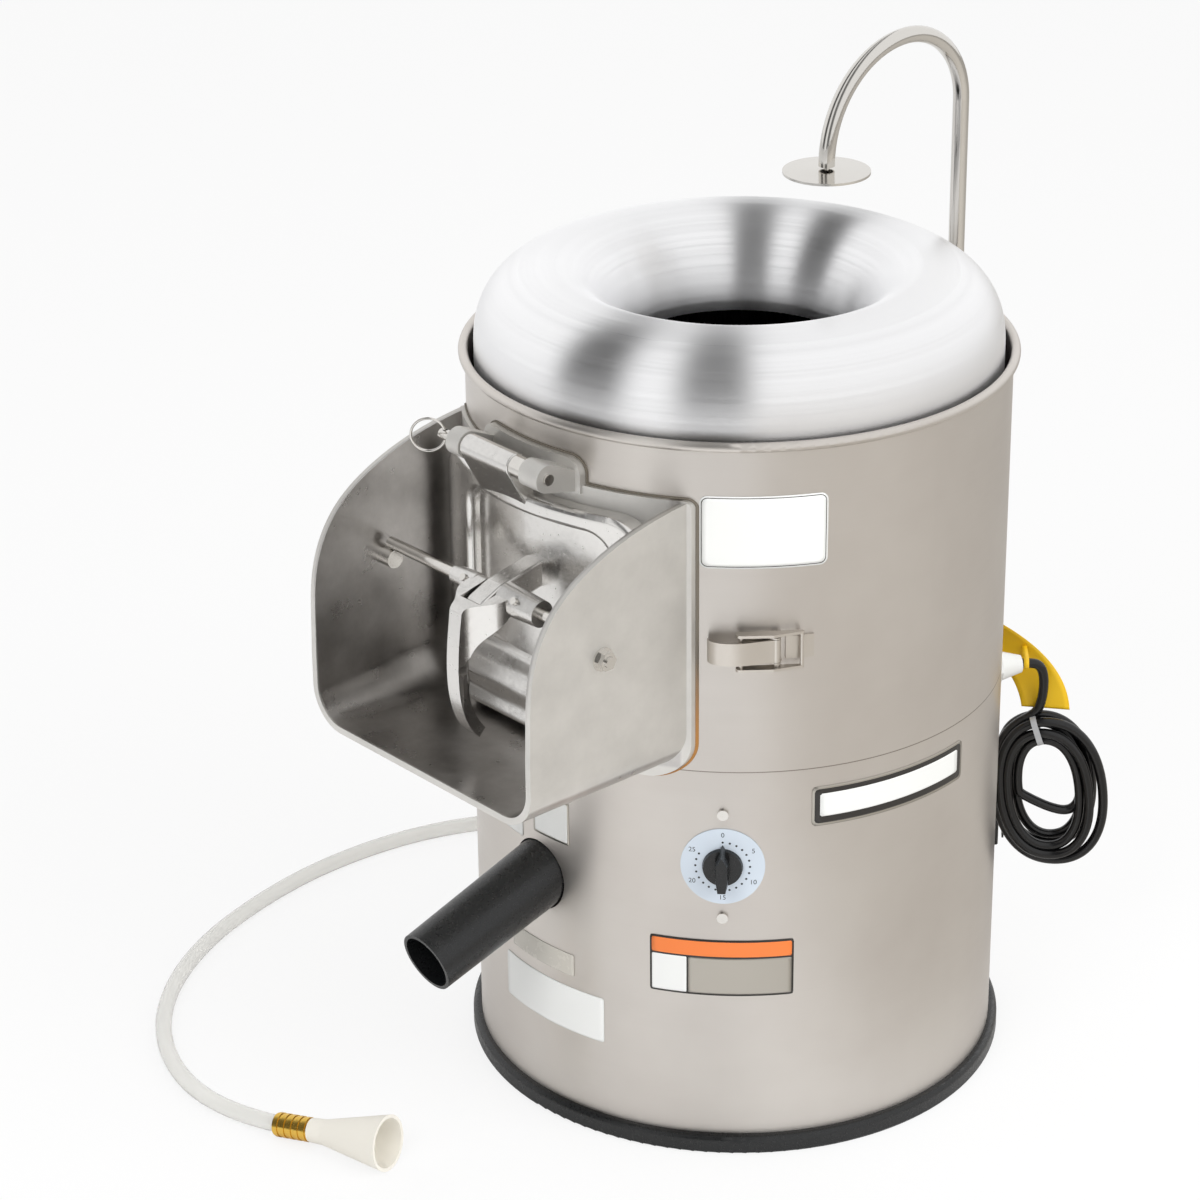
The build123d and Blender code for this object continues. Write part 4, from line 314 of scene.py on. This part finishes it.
steer(tree, "Roughness", level(tree, inside, 0.58, between(tree, cloud, 0.24, 0.40)))
emboss(tree, level(tree, inside, stroke, fine), 0.07, 0.0004)
dress(cast_skin, "discharge_chute")


# --- Chute sealant --------------------------------------------------------------------------
# A thin bead of amber sealant where the flange meets the drum. It turns a darker grey towards
# its top and is amber at its foot.
GREYED_FROM, AMBER_FROM = 0.40, 0.34

amber = rubber("amber_sealant", "A9793F", 0.5)
tree = amber.node_tree
amber_share = ramp(tree, axes(tree)["Z"], GREYED_FROM, AMBER_FROM)
steer(tree, "Base Color", blend(tree, amber_share, "6E675C", "A9763A"))
dress(amber, "chute_sealant")


# --- Door and latch castings ----------------------------------------------------------------
# Aluminium castings polished by hand: a bright, slightly wavy skin, whose gloss varies with
# the buffing.
def hand_polished(name, colour, roughness, wave=0.0006):
    """A polished skin: it rolls over about 15 mm, and its gloss varies with the buffing."""
    material, tree = metal(name, colour, roughness)
    roll = grained(tree, (1, 1, 1), 66.0, 1.0)
    marks = grained(tree, (1, 1, 1), 300.0)
    steer(tree, "Roughness", between(tree, marks, roughness - 0.04, roughness + 0.06))
    emboss(tree, roll, 0.25, wave)
    return material


bright_casting = hand_polished("polished_cast_aluminium", "E2E0DD", 0.22)
dress(bright_casting, "door_panel", "latch_handle")


# --- Steel parts ----------------------------------------------------------------------------
# Turned and drawn stainless, polished: hinge pin and ring, bar, bolts, spray arm and clips, and
# the shafts and bearings within. The side latch is pressed from sheet with a satin finish.
bright_steel = hand_polished("polished_stainless", "DAD7D2", 0.12, 0.0003)
dress(bright_steel, "hinge_pin", "pull_ring", "hinge_spacer", "latch_bar", "keeper_bolts", "keeper_nuts",
      "latch_set_screws", "spray_pipe", "spray_disc", "pipe_clips", "timer_screws", "timer_shaft",
      "drain_clamp", "disc_nut", "spindle", "lower_bearing", "upper_bearing", "motor_shaft", "motor_bolts")
satin_steel = hand_polished("satin_stainless", "D2CCC4", 0.32, 0.0003)
dress(satin_steel, "side_latch_base", "side_latch_pin", "side_latch_lever", "side_latch_bail",
      "side_latch_keeper")


# --- Feed ring ------------------------------------------------------------------------------
# The open lid: one sheet of aluminium spun on a lathe. The tool leaves fine rings, so light
# draws out into fans that run from the crest down both slopes.
RING_FOOT_R, RING_CREST_R, RING_THROAT_R = 0.1905, 0.131, 0.085
RING_SKIRT_Z, RING_FOOT_Z, RING_CREST_Z = 0.5448, 0.562, 0.618
RING_THROAT_Z, RING_LIP_Z, RING_SHEET = 0.559, 0.550, 0.002
CROWN_FULLNESS, FUNNEL_FULLNESS = 2.3, 1.6
RING_STEPS, SLOPE_STEPS = 256, 60
WELD = 1e-6                     # points of a mesh that are nearer than this become one


def skin(name, points, wrap_rows=False, wrap_columns=False):
    """A mesh over a grid of points (rows, columns, 3); a wrap joins its last to its first."""
    rows, columns = points.shape[:2]
    row = np.arange(rows if wrap_rows else rows - 1)
    column = np.arange(columns if wrap_columns else columns - 1)
    here, along = np.meshgrid(row, column, indexing="ij")
    below, beside = (here + 1) % rows, (along + 1) % columns
    faces = np.stack([here * columns + along, here * columns + beside,
                      below * columns + beside, below * columns + along], -1)
    mesh = bpy.data.meshes.new(name)
    mesh.from_pydata(points.reshape(-1, 3), [], faces.reshape(-1, 4).tolist())
    work = bmesh.new()
    work.from_mesh(mesh)
    bmesh.ops.remove_doubles(work, verts=work.verts, dist=WELD)
    bmesh.ops.recalc_face_normals(work, faces=work.faces)
    work.to_mesh(mesh)
    work.free()
    mesh.shade_smooth()
    piece = bpy.data.objects.new(name, mesh)
    bpy.context.scene.collection.objects.link(piece)
    return piece


def spun(profile, steps):
    """Turns a closed profile of (radius, height) round the Z axis, as a grid of points."""
    turn = np.linspace(0, 2 * np.pi, steps, endpoint=False)[:, None]
    radius, height = profile[:, 0][None, :], profile[:, 1][None, :]
    return np.stack([radius * np.sin(turn), -radius * np.cos(turn), height + 0 * turn], -1)


def ring_slope(inset):
    """From the skirt over the crest to the throat: two superellipse quarters, joined on the crest."""
    turn = np.linspace(0, np.pi / 2, SLOPE_STEPS)
    sine, cosine = np.abs(np.sin(turn)), np.abs(np.cos(turn))
    outer = np.stack([
        RING_CREST_R + (RING_FOOT_R - inset - RING_CREST_R) * cosine ** (2 / CROWN_FULLNESS),
        RING_FOOT_Z + (RING_CREST_Z - inset - RING_FOOT_Z) * sine ** (2 / CROWN_FULLNESS)], -1)
    inner = np.stack([
        RING_CREST_R - (RING_CREST_R - RING_THROAT_R - inset) * sine ** (2 / FUNNEL_FULLNESS),
        RING_THROAT_Z + (RING_CREST_Z - inset - RING_THROAT_Z) * cosine ** (2 / FUNNEL_FULLNESS)], -1)
    return np.concatenate([outer, inner[1:]])


lower_edge = np.array([[RING_FOOT_R - RING_SHEET, RING_SKIRT_Z], [RING_FOOT_R, RING_SKIRT_Z]])
throat_edge = np.array([[RING_THROAT_R, RING_LIP_Z], [RING_THROAT_R + RING_SHEET, RING_LIP_Z]])
ring_profile = np.concatenate([lower_edge, ring_slope(0), throat_edge, ring_slope(RING_SHEET)[::-1]])
spun_ring = skin("spun_feed_ring", spun(ring_profile, RING_STEPS), wrap_rows=True, wrap_columns=True)

# The rings are a noise over the distance from the axis and the height, the same all the way round.
spun_metal, tree = metal("spun_aluminium", "FCFCFD", 0.36, 0.98, turned=True)
place = axes(tree)
flat = put(tree, "ShaderNodeCombineXYZ", {0: place["X"], 1: place["Y"]}).outputs[0]
reach = put(tree, "ShaderNodeVectorMath", {"operation": "LENGTH", 0: flat}).outputs["Value"]
rings = put(tree, "ShaderNodeCombineXYZ", {0: reach, 1: place["Z"]}).outputs[0]
groove = put(tree, "ShaderNodeTexNoise", {
    "Scale": 420.0, "Detail": 4.0, "Roughness": 0.7, "Vector": rings}).outputs["Fac"]
steer(tree, "Roughness", between(tree, groove, 0.27, 0.41))
emboss(tree, groove, 0.12, 0.0004)
spun_ring.data.materials.append(spun_metal)
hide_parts("feed_ring")
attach(spun_ring, "feed_ring")


# --- Hopper liner ---------------------------------------------------------------------------
# A black rubber sleeve inside the hopper, seen through the throat. It is moulded with upright
# ribs about 4 mm apart.
RIB_COUNT = 280.0

ribbed = rubber("ribbed_black_rubber", "0F0F10", 0.5)
tree = ribbed.node_tree
place = axes(tree)
turn = sums(tree, "ARCTAN2", place["X"], place["Y"])
emboss(tree, sums(tree, "SINE", sums(tree, "MULTIPLY", turn, RIB_COUNT)), 0.8, 0.0012)
dress(ribbed, "hopper_liner")


# --- Cast floor, disc and grit --------------------------------------------------------------
# Rough sand castings with a grey skin. On the disc lies black silicon carbide grit in resin,
# in grains of about 2 mm.
sand_casting = hand_polished("sand_cast_aluminium", "8E8D8B", 0.5)
dress(sand_casting, "hopper_floor", "peeling_disc")

grit = rubber("silicon_carbide_grit", "1C1A19", 0.55)
tree = grit.node_tree
place = put(tree, "ShaderNodeTexCoord").outputs["Object"]
grain = put(tree, "ShaderNodeTexVoronoi", {"Scale": 480.0, "Vector": place})
emboss(tree, grain.outputs["Distance"], 1.0, 0.0016)
dress(grit, "disc_abrasive")


# --- Motor and drive ------------------------------------------------------------------------
# Under the hopper: an enamelled motor on a pressed steel bracket, cast iron pulleys and bearing
# housing, the motor's capacitor in its bakelite case, and the timer's nylon clockwork case.
def plastic(name, colour, roughness):
    """A moulded or painted skin with a slight unevenness in its gloss."""
    return skinned(name, colour, 180.0, 3.0, (roughness - 0.05, roughness + 0.05), (0.05, 0.0003))


cast_iron = hand_polished("grey_cast_iron", "4A4A4B", 0.55, 0.0005)
dress(cast_iron, "bearing_housing", "driven_pulley", "motor_pulley")
dress(plastic("black_motor_enamel", "202326", 0.35), "motor_body")
dress(plastic("capacitor_bakelite", "121212", 0.3), "start_capacitor")
dress(hand_polished("mill_finish_steel", "B5B1AB", 0.35, 0.0003), "base_plate", "motor_bracket")
dress(plastic("natural_nylon", "E4E2DA", 0.45), "timer_body")


# --- Timer ----------------------------------------------------------------------------------
# A plastic dial bent to the drum and a black phenolic pointer knob. The dots and numerals are
# a flat sheet of ink, bent with the dial; the dots stop short of the zero.
DRUM_R = 0.197
DIAL_HEADING, DIAL_Z, DIAL_FACE = math.radians(43.9), 0.2365, 0.0008
DOT_RING, NUMBER_RING, INK_LIFT = 0.0193, 0.0250, 0.00002
DOT_R, DOT_SIDES, DOT_COUNT, DOT_STEP = 0.00085, 14, 21, 15.0
NUMBER_SIZE, NUMBER_COUNT, NUMBER_STEP, MINUTES_STEP = 0.0052, 6, 60, 5


def bent_to_drum(flat_points, heading, height, lift):
    """Points (along, up, out) on a flat sheet, wrapped on the drum at a heading and a height."""
    turn = heading + flat_points[:, 0] / DRUM_R
    radius = DRUM_R + lift + flat_points[:, 2]
    return np.stack([radius * np.sin(turn), -radius * np.cos(turn), height + flat_points[:, 1]], -1)


def on_dial(reach, degrees):
    """The place of a mark on the flat dial: its distance from the middle, its turn from the top."""
    turn = math.radians(degrees)
    return Matrix.Translation((reach * math.sin(turn), reach * math.cos(turn), INK_LIFT))


dress(plastic("blue_grey_dial", "CBD5E0", 0.4), "timer_dial")
dress(plastic("black_phenolic_knob", "101112", 0.28), "timer_knob")

marks = bmesh.new()
for number in range(DOT_COUNT):
    bmesh.ops.create_circle(marks, cap_ends=True, segments=DOT_SIDES, radius=DOT_R,
                            matrix=on_dial(DOT_RING, DOT_STEP * number))
for number in range(NUMBER_COUNT):
    letter = bpy.data.curves.new("numeral", "FONT")
    letter.body = str(MINUTES_STEP * number)
    letter.size = NUMBER_SIZE
    letter.align_x, letter.align_y = "CENTER", "CENTER"
    shown = bpy.data.objects.new("numeral", letter)
    bpy.context.scene.collection.objects.link(shown)
    bpy.context.view_layer.update()
    evaluated = shown.evaluated_get(bpy.context.evaluated_depsgraph_get())
    flat_numeral = bpy.data.meshes.new_from_object(evaluated)
    flat_numeral.transform(on_dial(NUMBER_RING, NUMBER_STEP * number))
    marks.from_mesh(flat_numeral)
    bpy.data.objects.remove(shown)
    bpy.data.curves.remove(letter)
    bpy.data.meshes.remove(flat_numeral)
dial_print_mesh = bpy.data.meshes.new("dial_print")
marks.to_mesh(dial_print_mesh)
marks.free()
flat_spots = np.zeros(len(dial_print_mesh.vertices) * 3)
dial_print_mesh.vertices.foreach_get("co", flat_spots)
bent_spots = bent_to_drum(flat_spots.reshape(-1, 3), DIAL_HEADING, DIAL_Z, DIAL_FACE)
dial_print_mesh.vertices.foreach_set("co", bent_spots.ravel())
dial_print = bpy.data.objects.new("dial_print", dial_print_mesh)
bpy.context.scene.collection.objects.link(dial_print)
dial_print_mesh.materials.append(plastic("dial_ink", "23262B", 0.5))
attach(dial_print, "machine")


# --- Blank plates ---------------------------------------------------------------------------
# Self-adhesive plates on the drum, left blank: a thin body with a rounded outline, and the
# coloured panels printed on it as still thinner sheets.
MM = 0.001
CORNER_STEPS, RIM_POINTS, RIM_RINGS = 48, 144, 13
LAYERS = ((0.0001, 0.0003), (0.0004, 0.00004), (0.00044, 0.00004))   # lift off the drum, thickness


def outline(half_w, half_h, corner, count):
    """Evenly spaced points round a rectangle with rounded corners."""
    turn = np.linspace(0, 2 * np.pi, CORNER_STEPS, endpoint=False)
    x = np.sign(np.cos(turn)) * (half_w - corner) + corner * np.cos(turn)
    y = np.sign(np.sin(turn)) * (half_h - corner) + corner * np.sin(turn)
    ring = np.stack([np.append(x, x[0]), np.append(y, y[0])], -1)
    run = np.append(0, np.cumsum(np.linalg.norm(np.diff(ring, axis=0), axis=1)))
    at = np.linspace(0, run[-1], count, endpoint=False)
    return np.stack([np.interp(at, run, ring[:, 0]), np.interp(at, run, ring[:, 1])], -1)


def plate(name, heading, height, size, corner, material, layer):
    """A blank plate bent to the drum: rings of the outline shrunk to its centre, front and back."""
    lift, thick = LAYERS[layer]
    rim = outline(size[0] / 2, size[1] / 2, corner, RIM_POINTS)
    shares = np.linspace(0, 1, RIM_RINGS)
    front = [np.column_stack([rim * share, np.full(len(rim), thick)]) for share in shares]
    back = [np.column_stack([rim * share, np.zeros(len(rim))]) for share in shares[::-1]]
    flat = np.concatenate([front, back])
    bent = bent_to_drum(flat.reshape(-1, 3), math.radians(heading), height, lift).reshape(flat.shape)
    piece = skin(name, bent, wrap_columns=True)
    piece.data.materials.append(material)
    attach(piece, "machine")


white = plastic("white_vinyl_film", "EDEEEC", 0.35)
black = plastic("black_vinyl_film", "2A2724", 0.35)
orange = plastic("orange_vinyl_film", "F0803A", 0.35)
silver = metal("silvered_film", "B9B4AB", 0.35)[0]
clear = plastic("frosted_film", "C9C5BC", 0.25)
PLATES = (      # name, heading in degrees, height; then width, height, corner in mm; film, layer
    ("notice_plate", 51.8, 0.49375, 88.4, 53.4, 5.5, white, 0),
    ("notice_line", 51.8, 0.49375, 86.2, 51.2, 4.6, black, 1),
    ("notice_field", 51.8, 0.49375, 85.0, 50.0, 4.0, white, 2),
    ("caution_plate", 43.7, 0.1533, 104.2, 45.6, 1.5, black, 0),
    ("caution_band", 43.7, 0.1685, 101.4, 12.0, 0.8, orange, 1),
    ("caution_left", 32.7, 0.1465, 25.6, 29.2, 0.8, white, 1),
    ("caution_right", 47.6, 0.1465, 74.4, 29.2, 0.8, silver, 1),
    ("name_plate", 82.0, 0.2805, 136.0, 31.0, 3.5, silver, 0),
    ("name_line", 82.0, 0.2805, 132.0, 27.0, 2.6, black, 1),
    ("name_field", 82.0, 0.2812, 124.0, 18.0, 1.6, white, 2),
    ("white_plate", 2.6, 0.0937, 104.0, 37.0, 1.5, white, 0),
    ("rating_plate", 4.0, 0.2467, 36.0, 34.0, 1.5, silver, 0),
    ("rating_field", 4.0, 0.2467, 33.0, 31.0, 0.8, white, 1),
    ("small_plate", -10.9, 0.2300, 40.0, 22.0, 1.0, white, 0),
    ("clear_plate", 0.2, 0.1310, 68.0, 18.0, 1.0, clear, 0),
)
for name, heading, height, width, tall, corner, film, layer in PLATES:
    plate(name, heading, height, (width * MM, tall * MM), corner * MM, film, layer)


# --- Faucet hose ----------------------------------------------------------------------------
# Half-inch clear vinyl hose from the spray pipe's foot, round the drum on the bench to the
# ferrule. Clear PVC looks milky at the walls and glossy on top.
HOSE_R = 0.00635
HOSE_POINTS = [
    (0, 0.225, 0.150), (0, 0.225, 0.100), (-0.014, 0.236, 0.048), (-0.058, 0.250, 0.013),
    (-0.112, 0.249, 0.0066), (-0.168, 0.232, 0.0065), (-0.222, 0.202, 0.0066), (-0.272, 0.160, 0.0065),
    (-0.318, 0.110, 0.0066), (-0.356, 0.056, 0.0065), (-0.381, -0.002, 0.0066), (-0.391, -0.062, 0.0065),
    (-0.390, -0.124, 0.0066), (-0.378, -0.186, 0.0065), (-0.358, -0.246, 0.0066), (-0.325, -0.302, 0.0065),
    (-0.280, -0.348, 0.0066), (-0.226, -0.378, 0.0065), (-0.170, -0.389, 0.0066),
    (-0.114, -0.3776, 0.00717), (-0.0843, -0.3664, 0.0111),
]


def laid_cord(name, points, radius, material):
    """A cord on one smooth NURBS line with these control points."""
    line = bpy.data.curves.new(name, "CURVE")
    line.dimensions = "3D"
    line.bevel_depth = radius
    line.bevel_resolution = 6
    line.resolution_u = 8
    line.use_fill_caps = True
    spline = line.splines.new("NURBS")
    spline.points.add(len(points) - 1)
    for point, place in zip(spline.points, points):
        point.co = (*place, 1.0)
    spline.order_u = 3
    spline.use_endpoint_u = True
    line.materials.append(material)
    piece = bpy.data.objects.new(name, line)
    bpy.context.scene.collection.objects.link(piece)
    return piece


clear_vinyl, tree = surface("clear_vinyl_hose", "FAF9F5", {
    "Transmission Weight": 0.55, "Roughness": 0.18, "IOR": 1.45, "Coat Weight": 0.4})
emboss(tree, grained(tree, (1, 1, 1), 40.0, 2.0), 0.1, 0.0005)

hose = laid_cord("clear_hose", HOSE_POINTS, HOSE_R, clear_vinyl)
dress(hand_polished("crimped_brass", "E2B956", 0.22, 0.0003), "hose_ferrule")
dress(rubber("white_rubber_nozzle", "EDE9DF", 0.5), "faucet_nozzle")
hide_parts("water_hose")
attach(hose, "machine")


# --- Mains cord -----------------------------------------------------------------------------
# Glossy black PVC cord: out of the nylon gland, down into a coil of about six turns, and out at
# the back to the moulded plug. A tie near the coil's top holds its turns; they fan out below.
CORD_R = 0.00375
CORD_START = [
    (0.1110, 0.1922, 0.2770), (0.1150, 0.1991, 0.2770), (0.1184, 0.2048, 0.2750), (0.1202, 0.2084, 0.2680),
    (0.1203, 0.2099, 0.2560), (0.1185, 0.2098, 0.2420), (0.1150, 0.2083, 0.2310),
]
CORD_END = [(0.0860, 0.2043, 0.2010), (0.0790, 0.2062, 0.1870), (0.0790, 0.2062, 0.1760)]
COIL_MIDDLE = np.array([0.1224, 0.2161, 0.1670])
COIL_HEADING = math.radians(46.5)
TURNS, POINTS_PER_TURN, PLACES = 6.1, 16, 7
CORE_HALF_W, CORE_HALF_H, CORE_FULLNESS = 0.0335, 0.0535, 2.25
FIRST_ANGLE, LEAN = 0.55, 0.10      # the coil starts left of its top, and its top leans left
STRAND_RING_TOP, STRAND_RING_FOOT = 0.0088, 0.0108
LOOSE_FROM, LOOSE_TO = 3.25, 3.75   # in turns: here an inner turn hangs across the coil's hole
LOOSE_DROP, LOOSE_LEAN = 0.016, 0.010
SWAY, SWAY_PACE, SWAY_START = 0.0022, 0.31, 0.5     # the turns aren't quite alike, sideways
RISE, RISE_PACE = 0.0018, 0.23                      # and in height


def by_coil(spots):
    """Points given along the coil's face, up and behind it, as points of the shared frame."""
    way = np.array([math.cos(COIL_HEADING), math.sin(COIL_HEADING), 0])
    behind = np.array([-math.sin(COIL_HEADING), math.cos(COIL_HEADING), 0])
    upward = np.array([0, 0, 1])
    return COIL_MIDDLE + spots[..., :1] * way + spots[..., 1:2] * upward + spots[..., 2:] * behind


def coil_points():
    """The coil's control points: an upright oval core, and strands that circle it a place a turn."""
    angle = np.linspace(FIRST_ANGLE, 2 * np.pi * TURNS, int(TURNS * POINTS_PER_TURN) + 1)
    turn = angle / (2 * np.pi)
    across = -np.sign(np.sin(angle)) * np.abs(np.sin(angle)) ** (2 / CORE_FULLNESS)
    upward = np.sign(np.cos(angle)) * np.abs(np.cos(angle)) ** (2 / CORE_FULLNESS)
    place = math.pi / 2 - 2 * np.pi / PLACES * turn
    ring = STRAND_RING_TOP + (STRAND_RING_FOOT - STRAND_RING_TOP) * (1 - np.cos(angle)) / 2
    outwards, depth = ring * np.sin(place), -ring * np.cos(place)
    side = (CORE_HALF_W + outwards) * across + SWAY * np.sin(SWAY_PACE * angle + SWAY_START)
    height = (CORE_HALF_H + outwards) * upward
    loose = (turn > LOOSE_FROM) & (turn < LOOSE_TO)
    height = np.where(loose, LOOSE_DROP * upward + LOOSE_LEAN * across * upward, height)
    height += RISE * np.sin(RISE_PACE * angle)
    side -= LEAN * height
    spots = by_coil(np.stack([side, height, depth], -1))
    return [tuple(spot) for spot in spots.tolist()]


cord_pvc = plastic("glossy_black_pvc", "0D0D0E", 0.22)
mains_cord = laid_cord("mains_cord", CORD_START + coil_points() + CORD_END, CORD_R, cord_pvc)
dress(cord_pvc, "power_plug")
dress(plastic("white_nylon_gland", "E9EAE8", 0.35), "cord_gland")
dress(plastic("grey_tie", "B6B8BB", 0.4), "cord_tie")
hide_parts("power_cord", "cord_coil", "cord_tail")
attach(mains_cord, "machine")


# --- Hang tag -------------------------------------------------------------------------------
# A card of yellow coated board, curled as it came off the roll, on a strap of the same board
# round the cord at the gland. It hangs behind the cord with its foot on the coil. Its points are
# metres along the coil's face, up, and behind it, from the coil's middle.
CARD_RIGHT = ((0.015, 0.0652, 0.004), (0.012, 0.1050, 0.006), (-0.037, 0.1295, 0.020))
CARD_LEFT = ((-0.022, 0.0680, 0.004), (-0.026, 0.0980, 0.012), (-0.065, 0.1140, 0.045))
CARD_HALF_SHEET, CARD_ROWS, CARD_COLUMNS = 0.0003, 40, 9
STRAP_AT, STRAP_HEIGHT, STRAP_BEHIND = -0.0208, 0.110, 0.0033
STRAP_HALF_RUN, STRAP_ROUND, STRAP_SHEET, STRAP_HALF_W = 0.0105, 0.0039, 0.0004, 0.002
STRAP_STEPS = 48


def card_edge(bends, share):
    """A quadratic curve from the card's foot to its top: start, pull and end."""
    start, pull, end = (np.array(bend) for bend in bends)
    return (1 - share) ** 2 * start + 2 * share * (1 - share) * pull + share ** 2 * end


def card_points():
    """The card between its two curved edges: each row goes across the front and back behind."""
    share = np.linspace(0, 1, CARD_ROWS)[:, None]
    right, left = card_edge(CARD_RIGHT, share), card_edge(CARD_LEFT, share)
    across = np.linspace(0, 1, CARD_COLUMNS)[None, :, None]
    middle = right[:, None, :] * (1 - across) + left[:, None, :] * across
    lift = np.array([0, 0, CARD_HALF_SHEET])
    rows = np.concatenate([middle - lift, (middle + lift)[:, ::-1]], 1)
    ends = [np.concatenate([edge, edge[::-1]])[None] for edge in (middle[0], middle[-1])]
    return np.concatenate([ends[0], rows, ends[1]])


def strap_points():
    """The strap's loop: round the cord at one end, through the card at the other."""
    turn = np.linspace(0, 2 * np.pi, STRAP_STEPS, endpoint=False)
    run = STRAP_BEHIND + STRAP_HALF_RUN * np.sign(np.cos(turn))
    corners = []
    for across, out in ((-STRAP_HALF_W, 0), (STRAP_HALF_W, 0), (STRAP_HALF_W, STRAP_SHEET),
                        (-STRAP_HALF_W, STRAP_SHEET)):
        behind = run + (STRAP_ROUND + out) * np.cos(turn)
        height = STRAP_HEIGHT + (STRAP_ROUND + out) * np.sin(turn)
        corners.append(np.stack([STRAP_AT + across + 0 * turn, height, behind], -1))
    return np.stack(corners, 1)


card_yellow = plastic("yellow_tag_card", "F0C214", 0.5)
for name, points, closed in (("tag_card", card_points(), False), ("tag_strap", strap_points(), True)):
    piece = skin(name, by_coil(points), wrap_rows=closed, wrap_columns=True)
    piece.data.materials.append(card_yellow)
    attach(piece, "machine")
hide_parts("cord_tag")
